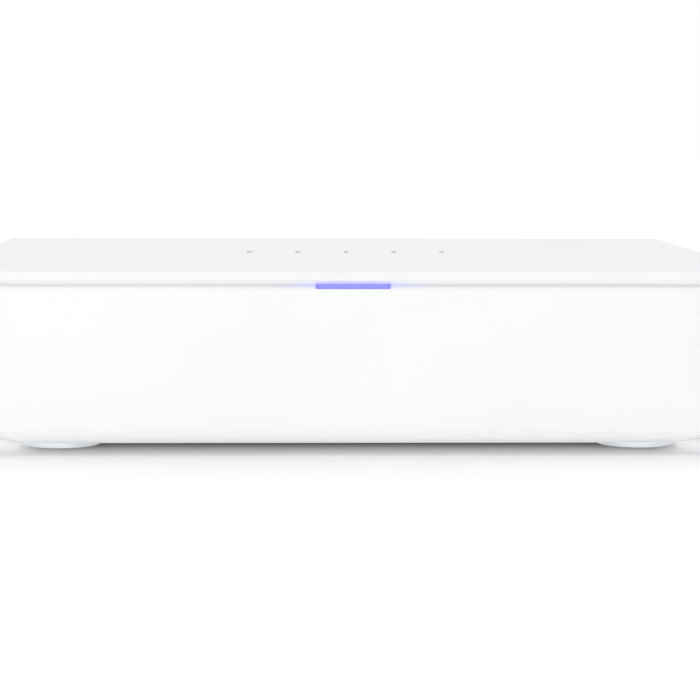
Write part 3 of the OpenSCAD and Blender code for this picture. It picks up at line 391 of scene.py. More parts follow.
# The board: copper tracks under a green mask, and round plated pads
TRACK_PITCH = 4 * MM
TRACK_SHAPE = {"Mortar Size": 0.06, "Mortar Smooth": 0.2, "Row Height": 0.35, "Brick Width": 2.4}
TRACK_RELIEF = 0.03 * MM
MASK_TONES = ((0.012, 0.085, 0.042), (0.022, 0.135, 0.068))
PAD_PITCH = 5 * MM
PAD_EDGE = (0.08, 0.12)
PAD_COLOUR = (0.62, 0.60, 0.52)
BOARD_GRAIN = 0.6 * MM
BOARD_ROUGH = (0.3, 0.42)

# The capacitors: a dark sleeve, and a bare top above it
CAN_TOP = BOARD_TOP + 11 * MM
CAN_TOP_EDGE = (CAN_TOP - 0.35 * MM, CAN_TOP - 0.25 * MM)
CAN_TOP_COLOUR = (0.70, 0.70, 0.71)
SLEEVE_TONES = ((0.015, 0.017, 0.032), (0.022, 0.025, 0.045))
SLEEVE_GRAIN = 0.5 * MM
SLEEVE_ROUGH = (0.28, 0.38)
SLEEVE_RELIEF = 0.008 * MM


def painted_glow_share(tree, place):
    """Share of the bar's light painted onto a point of the case: full at the bar, none past its reach.

    It is the product of a soft fall above the bar, one below it, one behind the front face, and
    one past the bar's ends, which mixes a short fall with a weak long one."""
    parts = add_node(tree, "ShaderNodeSeparateXYZ", {"Vector": place})
    height = parts.outputs["Z"]
    past = sum_node(tree, "SUBTRACT", sum_node(tree, "ABSOLUTE", parts.outputs["X"]), BAR_HALF)
    near = ramp(tree, past, 0.0, GLOW_NEAR, 1 - GLOW_FAR_SHARE, 0.0)
    far = ramp(tree, past, 0.0, GLOW_FAR, GLOW_FAR_SHARE, 0.0)
    return product(
        tree, sum_node(tree, "ADD", near, far),
        ramp(tree, height, GLOW_START, GLOW_START + GLOW_UP, 1.0, 0.0),
        ramp(tree, height, BAR_LOW - GLOW_DOWN, BAR_LOW),
        ramp(tree, parts.outputs["Y"], *GLOW_BACK, 1.0, 0.0),
    )


def white_moulding(name):
    """White plastic with a fine eroded grain, with the light bar's light painted in close to the bar as a
    violet tint and a weak glow.
    """
    material, tree, shader, place = new_finish(name)
    clouds = spread(tree, grain(tree, place, CASE_CLOUD), 0, 1)
    fine = grain(tree, place, CASE_GRAIN)
    plain = two_tone(tree, clouds, CASE_DARK, CASE_LIGHT)
    share = painted_glow_share(tree, place)
    # Painted light: near the bar the colour is tinted violet and the plastic glows, standing for the bar's
    # light on the case
    tint = sum_node(tree, "MULTIPLY", share, PAINTED_GLOW_TINT)
    tree.links.new(two_tone(tree, tint, plain, PAINTED_GLOW_COLOUR), shader.inputs["Base Color"])
    tree.links.new(spread(tree, fine, *CASE_ROUGH), shader.inputs["Roughness"])
    relief(tree, shader, fine, CASE_RELIEF)
    tree.links.new(sum_node(tree, "MULTIPLY", share, GLOW_SHINE), shader.inputs["Emission Strength"])
    set_sockets(shader, {"Specular_IOR_Level": CASE_GLOSS, "Emission_Color": GLOW_SHINE_COLOUR})
    return material


def lit_bar(name):
    """The lit end of the light guide: even in the middle, and deeper in tone along its rim."""
    material, tree, shader, place = new_finish(name)
    parts = add_node(tree, "ShaderNodeSeparateXYZ", {"Vector": place})
    along = sum_node(tree, "ABSOLUTE", parts.outputs["X"])
    ends = ramp(tree, along, *BAR_ENDS)
    lower = ramp(tree, parts.outputs["Z"], *BAR_FOOT, BAR_FOOT_SHARE, 0.0)
    rim = sum_node(tree, "MAXIMUM", ends, lower)
    tone = two_tone(tree, rim, BAR_COLOUR, BAR_RIM_COLOUR)
    tree.links.new(tone, shader.inputs["Emission Color"])
    set_sockets(shader, {
        "Emission_Strength": 1.0, "Base_Color": BAR_UNLIT,
        "Roughness": BAR_ROUGH, "Specular_IOR_Level": BAR_GLOSS,
    })
    return material


def masked_board(name):
    """Green solder mask over copper tracks, with plated pads in cells between them."""
    material, tree, shader, place = new_finish(name)
    tracks = add_node(tree, "ShaderNodeTexBrick", {
        "Vector": place, "Scale": 1 / TRACK_PITCH, **TRACK_SHAPE,
    })
    cells = add_node(tree, "ShaderNodeTexVoronoi", {"Vector": place, "Scale": 1 / PAD_PITCH})
    pads = ramp(tree, cells.outputs["Distance"], *PAD_EDGE, 1.0, 0.0)
    mask = two_tone(tree, tracks.outputs["Fac"], *MASK_TONES)
    tree.links.new(two_tone(tree, pads, mask, PAD_COLOUR), shader.inputs["Base Color"])
    fine = grain(tree, place, BOARD_GRAIN)
    tree.links.new(spread(tree, fine, *BOARD_ROUGH), shader.inputs["Roughness"])
    relief(tree, shader, tracks.outputs["Fac"], TRACK_RELIEF)
    return material


def sleeved_can(name):
    """A capacitor's dark sleeve and its bare metal top."""
    material, tree, shader, place = new_finish(name)
    parts = add_node(tree, "ShaderNodeSeparateXYZ", {"Vector": place})
    top = ramp(tree, parts.outputs["Z"], *CAN_TOP_EDGE)
    fine = grain(tree, place, SLEEVE_GRAIN)
    sleeve = two_tone(tree, spread(tree, fine, 0, 1), *SLEEVE_TONES)
    tree.links.new(two_tone(tree, top, sleeve, CAN_TOP_COLOUR), shader.inputs["Base Color"])
    tree.links.new(top, shader.inputs["Metallic"])
    tree.links.new(spread(tree, fine, *SLEEVE_ROUGH), shader.inputs["Roughness"])
    relief(tree, shader, fine, SLEEVE_RELIEF)
    return material


case_white = white_moulding("case_white")
light_violet = lit_bar("light_violet")
board_green = masked_board("board_green")
capacitor_can = sleeved_can("capacitor_can")

# Plastics, rubber, lenses and prints
rim_violet = grained(
    "rim_violet", dark=(0.02, 0.02, 0.06), light=(0.03, 0.03, 0.08), rough=(0.4, 0.5),
    size=0.3 * MM, depth=0.002 * MM, Emission_Color=(*BAR_RIM_COLOUR, 1), Emission_Strength=0.9,
)
foot_rubber = grained(
    "foot_rubber", dark=(0.72, 0.747, 0.78), light=(0.75, 0.777, 0.81), rough=(0.5, 0.6),
    size=0.4 * MM, depth=0.01 * MM,
)
panel_grey = grained(
    "panel_grey", dark=(0.60, 0.61, 0.62), light=(0.63, 0.64, 0.65), rough=(0.42, 0.5),
    size=0.3 * MM, depth=0.01 * MM,
)
smoked_clear = grained(
    "smoked_clear", dark=(0.58, 0.58, 0.59), light=(0.62, 0.62, 0.63), rough=(0.25, 0.3),
    size=0.4 * MM, depth=0.002 * MM,
)
chip_black = grained(
    "chip_black", dark=(0.016, 0.016, 0.017), light=(0.024, 0.024, 0.026), rough=(0.5, 0.64),
    size=0.25 * MM, depth=0.008 * MM,
)
socket_black = grained(
    "socket_black", dark=(0.011, 0.011, 0.012), light=(0.018, 0.018, 0.019), rough=(0.42, 0.54),
    size=0.3 * MM, depth=0.008 * MM,
)
rocker_black = grained(
    "rocker_black", dark=(0.014, 0.014, 0.015), light=(0.021, 0.021, 0.022), rough=(0.32, 0.42),
    size=0.3 * MM, depth=0.006 * MM,
)
button_grey = grained(
    "button_grey", dark=(0.60, 0.60, 0.62), light=(0.66, 0.66, 0.68), rough=(0.35, 0.45),
    size=0.3 * MM, depth=0.006 * MM,
)
pad_grey = grained(
    "pad_grey", dark=(0.33, 0.37, 0.43), light=(0.38, 0.42, 0.48), rough=(0.75, 0.9),
    size=0.6 * MM, depth=0.03 * MM,
)
inductor_grey = grained(
    "inductor_grey", dark=(0.075, 0.075, 0.078), light=(0.11, 0.11, 0.112), rough=(0.6, 0.75),
    size=0.5 * MM, depth=0.03 * MM,
)
tongue_blue = grained(
    "tongue_blue", dark=(0.025, 0.075, 0.32), light=(0.032, 0.095, 0.38), rough=(0.36, 0.46),
    size=0.3 * MM, depth=0.005 * MM,
)
indicator_lens = grained(
    "indicator_lens", dark=(0.50, 0.60, 0.42), light=(0.58, 0.67, 0.48), rough=(0.16, 0.24),
    size=0.6 * MM, depth=0.003 * MM, Coat_Weight=0.3,
)
print_dark = grained(
    "print_dark", dark=(0.10, 0.10, 0.105), light=(0.13, 0.13, 0.135), rough=(0.55, 0.65),
    size=0.2 * MM, depth=0.002 * MM,
)
print_white = grained(
    "print_white", dark=(0.72, 0.72, 0.72), light=(0.78, 0.78, 0.78), rough=(0.5, 0.6),
    size=0.2 * MM, depth=0.002 * MM,
)
label_foil = grained(
    "label_foil", dark=(0.66, 0.67, 0.68), light=(0.70, 0.71, 0.72), rough=(0.42, 0.52),
    size=0.4 * MM, depth=0.004 * MM,
)

# Metals; a stretch below one draws the grain out along that axis, as brushing or rolling does
METAL = {"Metallic": 1.0}
screw_steel = grained(
    "screw_steel", dark=(0.46, 0.46, 0.47), light=(0.54, 0.54, 0.55), rough=(0.26, 0.4),
    size=0.3 * MM, depth=0.004 * MM, cloud=4 * MM, **METAL,
)
plated_steel = grained(
    "plated_steel", dark=(0.60, 0.59, 0.57), light=(0.68, 0.67, 0.65), rough=(0.2, 0.32),
    size=0.6 * MM, depth=0.003 * MM, cloud=6 * MM, stretch=(1, 0.1, 1), **METAL,
)
brass = grained(
    "brass", dark=(0.62, 0.43, 0.17), light=(0.70, 0.50, 0.22), rough=(0.25, 0.38),
    size=0.4 * MM, depth=0.004 * MM, cloud=5 * MM, **METAL,
)
contact_gold = grained(
    "contact_gold", dark=(0.80, 0.56, 0.20), light=(0.88, 0.64, 0.26), rough=(0.18, 0.28),
    size=0.4 * MM, depth=0.002 * MM, cloud=3 * MM, **METAL,
)
sink_aluminium = grained(
    "sink_aluminium", dark=(0.60, 0.61, 0.62), light=(0.68, 0.69, 0.70), rough=(0.34, 0.46),
    size=0.5 * MM, depth=0.006 * MM, cloud=10 * MM, stretch=(1, 0.04, 1), **METAL,
)

# Case, rear panel and the solids that only take a finish
CASE_SHARP = 25
PANEL_EASE = 0.18 * MM
case_tub = eased_copy("lower_shell", "case_tub", case_white, sharp_angle=CASE_SHARP)
case_lid = eased_copy("top_cover", "case_lid", case_white, sharp_angle=CASE_SHARP)
eased_copy("rear_panel", "rear_plate", panel_grey, PANEL_EASE)

SOLID_FINISHES = {
    "front_light_guide": light_violet, "port_light_pipes": smoked_clear,
    "main_board": board_green, "thermal_pad": pad_grey, "heat_sink": sink_aluminium,
    "heat_sink_posts": brass, "threaded_inserts": brass, "lan_contacts": contact_gold,
    "wan_contacts": contact_gold, "clock_battery": plated_steel, "rocker_pin": plated_steel,
    "lock_plate": plated_steel, "status_light": indicator_lens, "port_lights": indicator_lens,
}
for solid, finish in SOLID_FINISHES.items():
    nodes[solid].data.materials.clear()
    nodes[solid].data.materials.append(finish)

# The rim of the light guide, which fills the gap at the bar's two ends and below it
RIM_FRONT = FRONT_FACE + 0.15 * MM
RIM_BACK = FRONT_FACE + 0.6 * MM
RIM_LOW = BAR_LOW - 0.13 * MM
RIM_SIDE = BAR_HALF + 0.075 * MM
RIM_SIDE_HALF = 0.06 * MM
RIM_SIDE_TOP = BAR_TOP - 0.1 * MM
RIM_FOOT_TOP = BAR_LOW - 0.02 * MM


def flat_section(front, back, low, high):
    """A rectangle of depth and height."""
    return [(front, low), (front, high), (back, high), (back, low)]


bar_rim = joined([
    strips([-RIM_SIDE, RIM_SIDE], RIM_SIDE_HALF, flat_section(RIM_FRONT, RIM_BACK, RIM_LOW, RIM_SIDE_TOP)),
    strips([0], BAR_HALF, flat_section(RIM_FRONT, RIM_BACK, RIM_LOW, RIM_FOOT_TOP)),
])
place_piece("bar_rim", form_mesh("bar_rim", *bar_rim), rim_violet)

# Sockets, switch, screws and chips as copies: solid, name, slot, finish and ease in millimetres
EASED_SOLIDS = (
    ("lan_jack_block", "lan_jack_body", "socket_black", socket_black, 0.14),
    ("wan_jack", "wan_jack_body", "socket_black", socket_black, 0.14),
    ("jack_lights", "jack_lenses", "indicator_lens", indicator_lens, 0.12),
    ("type_a_tongue", "type_a_blade", "tongue_blue", tongue_blue, 0.2),
    ("type_c_tongue", "type_c_blade", "chip_black", chip_black, 0.1),
    ("power_inlet", "inlet_body", "socket_black", socket_black, 0.3),
    ("inlet_pin", "inlet_post", "plated_steel", plated_steel, 0.0),
    ("power_switch_frame", "switch_bezel", "socket_black", socket_black, 0.22),
    ("reset_switch", "reset_body", "chip_black", chip_black, 0.15),
    ("case_screws", "case_screw_set", "screw_steel", screw_steel, 0.12),
    ("board_screws", "board_screw_set", "screw_steel", screw_steel, 0.12),
    ("heat_sink_screws", "sink_screw_set", "screw_steel", screw_steel, 0.12),
    ("processor", "processor_case", "chip_black", chip_black, 0.15),
    ("memory_chips", "memory_cases", "chip_black", chip_black, 0.12),
    ("storage_chip", "storage_case", "chip_black", chip_black, 0.12),
    ("switch_chip", "switch_chip_case", "chip_black", chip_black, 0.18),
    ("line_transformers", "transformer_cases", "chip_black", chip_black, 0.3),
    ("power_inductors", "inductor_cases", "inductor_grey", inductor_grey, 0.8),
    ("battery_holder", "battery_ring", "chip_black", chip_black, 0.2),
)
for solid, name, slot, finish, ease in EASED_SOLIDS:
    eased_copy(solid, name, finish, ease * MM)
ROCKER_EASE = 0.25 * MM
eased_copy("power_rocker", "rocker_paddle", rocker_black, ROCKER_EASE, body="rocker")

# Feet: a round pad with a rolled edge, and below it a shallow dish with two raised rings
FOOT_X = 76 * MM
FOOT_Y = 59.5 * MM
FOOT_COLUMNS = 96
FOOT_SHARP = 35
FOOT_EASE = 0.06 * MM
FOOT_PROFILE = np.array([
    (0, 0.45), (2.2, 0.45), (2.2, 0.15), (3.0, 0.15), (3.0, 0.45), (4.8, 0.45), (4.8, 0.15),
    (5.6, 0.15), (5.6, 0.45), (7.4, 0.45), (7.4, 0.0), (9.95, 0.0), (10.065, 0.023),
    (10.162, 0.088), (10.227, 0.185), (10.25, 0.3), (10.25, 3.8), (0, 3.8),
]) * MM


def make_foot(name, solid, side, end):
    """One foot: the profile turned about its upright axis, with its small edges eased."""
    points, faces = turned(FOOT_PROFILE, (side * FOOT_X, end * FOOT_Y, 0), columns=FOOT_COLUMNS)
    mesh = form_mesh(name, points, faces, FOOT_SHARP)
    return place_piece(
        name, mesh, foot_rubber, [solid], ease=FOOT_EASE, sharp_angle=FOOT_SHARP,
    )


foot_pads = [
    make_foot("foot_pad_front_left", "foot_front_left", -1, -1),
    make_foot("foot_pad_front_right", "foot_front_right", 1, -1),
    make_foot("foot_pad_rear_left", "foot_rear_left", -1, 1),
    make_foot("foot_pad_rear_right", "foot_rear_right", 1, 1),
]

# Data sockets: drawn shells with an open mouth, springs and contact strips
SHELL_WALL = 0.3 * MM
SHELL_BACK = 1.0 * MM
SHELL_EASE = 0.08 * MM
SHELL_SHARP = 40
TYPE_A_X = 25.6 * MM
TYPE_A_WIDTH = 13.1 * MM
TYPE_A_HEIGHT = 5.7 * MM
TYPE_A_DEPTH = 14 * MM
TYPE_A_CORNER = 0.55 * MM
TYPE_C_X = 40.4 * MM
TYPE_C_WIDTH = 8.94 * MM
TYPE_C_HEIGHT = 3.16 * MM
TYPE_C_DEPTH = 7.5 * MM
TYPE_C_CORNER = TYPE_C_HEIGHT / 2 - 0.01 * MM
SPRING_STEPS = 13
SPRING_SIDE = 3.4 * MM
SPRING_START = 1.2 * MM
SPRING_LENGTH = 7 * MM
SPRING_HALF = 1.1 * MM
SPRING_LEAF = 0.18 * MM
SPRING_MIDDLES = (TYPE_A_X - SPRING_SIDE, TYPE_A_X + SPRING_SIDE)
LOWER_WALL = BOARD_TOP + SHELL_WALL
LOWER_BOW = 0.45 * MM
UPPER_WALL = BOARD_TOP + TYPE_A_HEIGHT - SHELL_WALL
UPPER_BOW = -0.35 * MM


def make_shell(name, solid, middle, width, height, depth, corner):
    """A drawn shell: an outer ring carried to the mouth, and the same ring less the wall carried back.

    The rings are rectangles with round corners across the depth, standing on the board."""
    outer = rounded_ring(width, height, corner, FINE_CORNER_STEPS)
    inner = rounded_ring(
        width - 2 * SHELL_WALL, height - 2 * SHELL_WALL, corner - SHELL_WALL, FINE_CORNER_STEPS,
    )
    back = SOCKET_FACE - depth
    points, faces = lofted(
        [outer, outer, inner, inner], DEEP, [back, SOCKET_FACE, SOCKET_FACE, back + SHELL_BACK],
        (middle, BOARD_TOP + height / 2),
    )
    mesh = form_mesh(name, points, faces)
    place_piece(
        name, mesh, plated_steel, [solid], ease=SHELL_EASE, sharp_angle=SHELL_SHARP,
    )


def bowed_spring(bow, level):
    """The section of a leaf spring: a strip that starts at a wall's level and bows into the mouth.

    Along its length the strip leaves the wall by the bow times the sine of half a turn."""
    share = np.linspace(0, 1, SPRING_STEPS)
    depth = SOCKET_FACE - SPRING_START - SPRING_LENGTH * share
    height = level + bow * np.sin(np.pi * share)
    near = np.stack([depth, height], axis=1)
    far = np.stack([depth, height + SPRING_LEAF], axis=1)[::-1]
    return np.concatenate([near, far])


make_shell(
    "type_a_mouth", "type_a_shell", TYPE_A_X, TYPE_A_WIDTH, TYPE_A_HEIGHT, TYPE_A_DEPTH, TYPE_A_CORNER,
)
make_shell(
    "type_c_mouth", "type_c_shell", TYPE_C_X, TYPE_C_WIDTH, TYPE_C_HEIGHT, TYPE_C_DEPTH, TYPE_C_CORNER,
)
spring_form = joined([
    strips(SPRING_MIDDLES, SPRING_HALF, bowed_spring(LOWER_BOW, LOWER_WALL)),
    strips(SPRING_MIDDLES, SPRING_HALF, bowed_spring(UPPER_BOW, UPPER_WALL - SPRING_LEAF)),
])
place_piece("type_a_springs", form_mesh("type_a_springs", *spring_form), plated_steel)

# Contact strips on the two blades, each from its root in the blade to its face
TYPE_A_PADS = TYPE_A_X + np.array([-3.5, -1.0, 1.0, 3.5]) * MM
TYPE_A_PAD_HALF = 0.5 * MM
TYPE_A_PAD_FRONT = SOCKET_FACE - 5.1 * MM
TYPE_A_PAD_LENGTH = 7 * MM
TYPE_A_PAD_ROOT = BOARD_TOP + 2.50 * MM
TYPE_A_PAD_FACE = BOARD_TOP + 2.33 * MM
TYPE_C_PADS = TYPE_C_X + np.linspace(-2.75, 2.75, 12) * MM
TYPE_C_PAD_HALF = 0.13 * MM
TYPE_C_PAD_FRONT = SOCKET_FACE - 2.2 * MM
TYPE_C_PAD_LENGTH = 3 * MM
TYPE_C_PAD_LEVELS = (
    (BOARD_TOP + 1.26 * MM, BOARD_TOP + 1.19 * MM),
    (BOARD_TOP + 1.90 * MM, BOARD_TOP + 1.97 * MM),
)


def pad_section(front, length, root, face):
    """The section of a contact strip: a flat strip whose front end is cut on a slope."""
    slope = face - root
    back = front - length
    return [(front, root + slope / 2), (front - slope, face), (back, face), (back, root)]


type_a_pads = strips(TYPE_A_PADS, TYPE_A_PAD_HALF, pad_section(
    TYPE_A_PAD_FRONT, TYPE_A_PAD_LENGTH, TYPE_A_PAD_ROOT, TYPE_A_PAD_FACE,
))
place_piece("type_a_pads", form_mesh("type_a_pads", *type_a_pads), contact_gold)
type_c_pads = joined([
    strips(TYPE_C_PADS, TYPE_C_PAD_HALF, pad_section(TYPE_C_PAD_FRONT, TYPE_C_PAD_LENGTH, root, face))
    for root, face in TYPE_C_PAD_LEVELS
])
place_piece("type_c_pads", form_mesh("type_c_pads", *type_c_pads), contact_gold)

# Reset button: a slim pin with a domed tip
RESET_X = 49.4 * MM
RESET_Z = 17.4 * MM
RESET_RADIUS = 1.2 * MM
DOME_STEPS = 12
DOME_SHARE = 0.35
reset_low, reset_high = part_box("reset_button")


def domed_pin(radius, root, tip):
    """A profile up a pin's side and over its tip, which is a quarter of a flattened circle."""
    angle = np.linspace(0, np.pi / 2, DOME_STEPS)
    dome = DOME_SHARE * radius
    side = [(0, root), (radius, root)]
    cap = np.stack([radius * np.cos(angle), tip - dome + dome * np.sin(angle)], axis=1)
    return np.concatenate([side, cap])


reset_profile = domed_pin(RESET_RADIUS, reset_low.y, reset_high.y)
reset_form = turned(reset_profile, (RESET_X, 0, RESET_Z), DEEP)
place_piece(
    "reset_pin", form_mesh("reset_pin", *reset_form), button_grey, ["reset_button"], "reset",
)

# Printed marks: port numbers, a globe at the uplink, a polarity sign at the inlet, a ring at the reset
INK = 0.03 * MM
PORTS = 5
LAN_MIDDLE = -38.6 * MM
PORT_PITCH = 13.97 * MM
WAN_X = 7.5 * MM
INLET_X = 58 * MM
MARK_LEVEL = 30.7 * MM
NUMERAL_HEIGHT = 2.5 * MM
NUMERAL_SHARE = 0.7
RING_STEPS = 48


def ink_ring(x, z, half_width, half_height, line):
    """A thin printed ring: a rectangle of the line's width and the ink's height carried round an oval."""
    angle = np.linspace(0, 2 * np.pi, RING_STEPS, endpoint=False)
    reach = np.array([-1, 1, 1, -1])[:, None] * line / 2
    grid = np.empty((4, RING_STEPS, 3))
    grid[..., ACROSS] = x + (half_width + reach) * np.cos(angle)
    grid[..., UP] = z + (half_height + reach) * np.sin(angle)
    grid[..., DEEP] = PANEL_FACE + np.array([0, 0, INK, INK])[:, None]
    return grid.reshape(-1, 3), grid_faces(4, RING_STEPS, True, True)


def ink_patch(x, z, width, height, corner):
    """A thin printed patch: a rectangle with round corners carried through the ink's height."""
    ring = rounded_ring(width, height, corner)
    return lofted([ring, ring], DEEP, [PANEL_FACE, PANEL_FACE + INK], (x, z))


def numeral(text, x, z):
    """A printed numeral on the rear panel, upright and read from behind.

    Its own across is turned round, because the panel is seen from the rear."""
    letters = bpy.data.curves.new("numeral", "FONT")
    letters.body = text
    letters.align_x = "CENTER"
    letters.align_y = "CENTER"
    letters.size = NUMERAL_HEIGHT / NUMERAL_SHARE
    letters.extrude = INK / 2
    carrier = bpy.data.objects.new("numeral", letters)
    scene.collection.objects.link(carrier)
    bpy.context.view_layer.update()
    shown = carrier.evaluated_get(bpy.context.evaluated_depsgraph_get())
    mesh = bpy.data.meshes.new_from_object(shown)
    bpy.data.objects.remove(carrier)
    flat = np.empty(len(mesh.vertices) * 3)
    mesh.vertices.foreach_get("co", flat)
    across, upward, out = flat.reshape(-1, 3).T
    points = np.stack([x - across, PANEL_FACE + INK / 2 + out, z + upward], axis=1)
    return points, [list(face.vertices) for face in mesh.polygons]


LINE = 0.28 * MM
LINE_CORNER = LINE / 3
GLOBE_RADIUS = 1.25 * MM
SIGN_STEP = 2.6 * MM
SIGN_RADIUS = 0.75 * MM
SIGN_LINK = SIGN_STEP - 2 * SIGN_RADIUS
DOT = 0.7 * MM
DOT_CORNER = DOT / 2.01
RESET_RING = 2.2 * MM

# The globe's inner ring is a little lower than the outer one, so that they share no point
MERIDIAN_WIDTH = 0.45 * GLOBE_RADIUS
MERIDIAN_HEIGHT = GLOBE_RADIUS - LINE / 4
mark_form = joined([
    numeral(str(PORTS - count), LAN_MIDDLE + (count - (PORTS - 1) / 2) * PORT_PITCH, MARK_LEVEL)
    for count in range(PORTS)
] + [
    ink_ring(INLET_X + side * SIGN_STEP, MARK_LEVEL, SIGN_RADIUS, SIGN_RADIUS, LINE)
    for side in (0, 1, -1)
] + [
    ink_patch(INLET_X + side * SIGN_STEP / 2, MARK_LEVEL, SIGN_LINK, LINE, LINE_CORNER)
    for side in (1, -1)
] + [
    ink_patch(INLET_X, MARK_LEVEL, DOT, DOT, DOT_CORNER),
    ink_patch(INLET_X + SIGN_STEP, MARK_LEVEL, DOT, LINE, LINE_CORNER),
    ink_patch(INLET_X - SIGN_STEP, MARK_LEVEL, DOT, LINE, LINE_CORNER),
    ink_patch(INLET_X - SIGN_STEP, MARK_LEVEL, LINE, DOT, LINE_CORNER),
    ink_ring(WAN_X, MARK_LEVEL, GLOBE_RADIUS, GLOBE_RADIUS, LINE),
    ink_ring(WAN_X, MARK_LEVEL, MERIDIAN_WIDTH, MERIDIAN_HEIGHT, LINE),
    ink_patch(WAN_X, MARK_LEVEL, 2 * GLOBE_RADIUS, LINE, LINE_CORNER),
    ink_ring(RESET_X, RESET_Z, RESET_RING, RESET_RING, LINE),
])
place_piece("panel_marks", form_mesh("panel_marks", *mark_form), print_dark)

# The rocker's two marks, on the slopes of its face
SWITCH_X = 71 * MM
PIVOT_Y = 81.2 * MM
PIVOT_Z = 23.5 * MM
ROCKER_TILT = math.radians(9)
ROCKER_RISE = 1.2 * MM
ROCKER_SLOPE = math.radians(11)
ROCKER_MARK = 3.3 * MM
STROKE_WIDTH = 0.4 * MM
STROKE_HEIGHT = 2.2 * MM
STROKE_CORNER = 0.15 * MM
OVAL_WIDTH = 0.85 * MM
OVAL_HEIGHT = 1.05 * MM


def on_rocker(form, half):
    """Lays a flat form on the upper or the lower slope of the rocker's face.

    The form's across, height and lift become a step along X, along the slope from the middle of
    the face, and off the slope. The whole is then turned by the rocker's tilt about its pivot."""
    across, out, along = form[0].T
    lift = out - PANEL_FACE
    deep = ROCKER_RISE + along * math.sin(ROCKER_SLOPE) + lift * math.cos(ROCKER_SLOPE)
    high = half * (along * math.cos(ROCKER_SLOPE) - lift * math.sin(ROCKER_SLOPE))
    turned_deep = PIVOT_Y + deep * math.cos(ROCKER_TILT) - high * math.sin(ROCKER_TILT)
    turned_high = PIVOT_Z + deep * math.sin(ROCKER_TILT) + high * math.cos(ROCKER_TILT)
    return np.stack([SWITCH_X + across, turned_deep, turned_high], axis=1), form[1]


rocker_marks = joined([
    on_rocker(ink_patch(0, ROCKER_MARK, STROKE_WIDTH, STROKE_HEIGHT, STROKE_CORNER), 1),
    on_rocker(ink_ring(0, ROCKER_MARK, OVAL_WIDTH, OVAL_HEIGHT, STROKE_WIDTH), -1),
])
place_piece(
    "rocker_marks", form_mesh("rocker_marks", *rocker_marks), print_white, body="rocker",
)

# A bare foil plate on the underside
PLATE_WIDTH = 62 * MM
PLATE_DEPTH = 34 * MM
PLATE_CORNER = 2 * MM
PLATE_THICKNESS = 0.12 * MM
PLATE_MIDDLE = (0, -4 * MM)
PLATE_EASE = 0.04 * MM
plate_ring = rounded_ring(PLATE_WIDTH, PLATE_DEPTH, PLATE_CORNER, FINE_CORNER_STEPS)
plate_levels = [UNDERSIDE - PLATE_THICKNESS, UNDERSIDE]
plate_form = lofted([plate_ring, plate_ring], UP, plate_levels, PLATE_MIDDLE)
plate_mesh = form_mesh("underside_plate", *plate_form)
place_piece("underside_plate", plate_mesh, label_foil, ease=PLATE_EASE)

# Power capacitors: cans with a seat, a crimped groove and a scored top
CAN_STEP = 10.5 * MM
CAN_FIRST_X = 52.75 * MM
CAN_FIRST_Y = 30.7 * MM
CAN_PROFILE = np.array([
    (0, 0), (4.0, 0), (4.0, 1.3), (3.9, 1.6), (3.62, 1.8), (3.55, 2.05), (3.62, 2.3), (3.9, 2.5),
    (4.0, 2.8), (4.0, 10.45), (3.9, 10.72), (3.65, 10.9), (3.3, 11.0), (2.9, 11.0), (2.75, 10.88),
    (0.9, 10.88), (0.75, 11.0), (0, 11.0),
]) * MM
can_forms = joined([
    turned(CAN_PROFILE, (x, y, BOARD_TOP))
    for x in (CAN_FIRST_X, CAN_FIRST_X + CAN_STEP)
    for y in (CAN_FIRST_Y, CAN_FIRST_Y + CAN_STEP)
])
place_piece(
    "capacitor_cans", form_mesh("capacitor_cans", *can_forms), capacitor_can,
    ["power_capacitors"],
)

# Bent leads round the network switch chip
LEAD_COUNT = 24
LEAD_PITCH = 0.75 * MM
LEAD_HALF = 0.14 * MM
CHIP_HALF = 10 * MM
CHIP_MIDDLE = np.array([-38.6, 32.2, 0]) * MM
LEAD_SECTION = np.array([
    (-0.2, 0.62), (-0.2, 0.8), (0.55, 0.8), (0.75, 0.66), (0.95, 0.18), (1.5, 0.18), (1.5, 0.0),
    (0.85, 0.0), (0.68, 0.12), (0.5, 0.55), (0.4, 0.62),
]) * MM + (CHIP_HALF, BOARD_TOP)


def lead_row(quarter):
    """The leads of one side: a row of bent strips, turned about the chip's middle by quarter turns."""
    middles = (np.arange(LEAD_COUNT) - (LEAD_COUNT - 1) / 2) * LEAD_PITCH
    points, faces = strips(middles, LEAD_HALF, LEAD_SECTION)
    angle = quarter * np.pi / 2
    turn = np.array([[np.cos(angle), np.sin(angle), 0], [-np.sin(angle), np.cos(angle), 0], [0, 0, 1]])
    return points @ turn + CHIP_MIDDLE, faces


lead_form = joined([lead_row(quarter) for quarter in range(4)])
place_piece("switch_chip_leads", form_mesh("switch_chip_leads", *lead_form), plated_steel)

# Floor, light and camera

# The floor: its size, its tones, and painted shade under the case, as a dark grey patch where the case's
# shadow falls
FLOOR_HALF = 4.0
FLOOR_LINES = 5
FLOOR_TONES = ((0.85, 0.85, 0.85), (0.87, 0.87, 0.87))
FLOOR_CLOUD = 0.4
FLOOR_ROUGH = 0.9
PAINTED_SHADE_TONE = (0.12, 0.12, 0.12)
PAINTED_SHADE_WIDE = (78 * MM, 86 * MM)
PAINTED_SHADE_DEEP = (56 * MM, 88 * MM)

# The floor's shine, which is painted light: far from the case, under its front edge less a painted shade
# at the feet, and beside them
FAR_SHINE = 0.2
FAR_RISE = (0.12, 0.30)
LIP_SHINE = 0.20
LIP_RISE = (-89 * MM, -77 * MM)
LIP_FALL = (-77 * MM, -58 * MM)
TOE_SHADE = (7 * MM, 15.5 * MM)
SIDE_SHINE = 0.29
SIDE_RISE = (84 * MM, 88 * MM)
SIDE_FALL = (91 * MM, 100 * MM)
SIDE_FRONT = (-88 * MM, -68 * MM)
SIDE_REAR = (-57 * MM, -42 * MM)

# The sky's light: its level, its gain upwards, and its tilt towards the rear
SKY_LOW = 0.30
SKY_HIGH = 1.24
SKY_TILT = 0.12


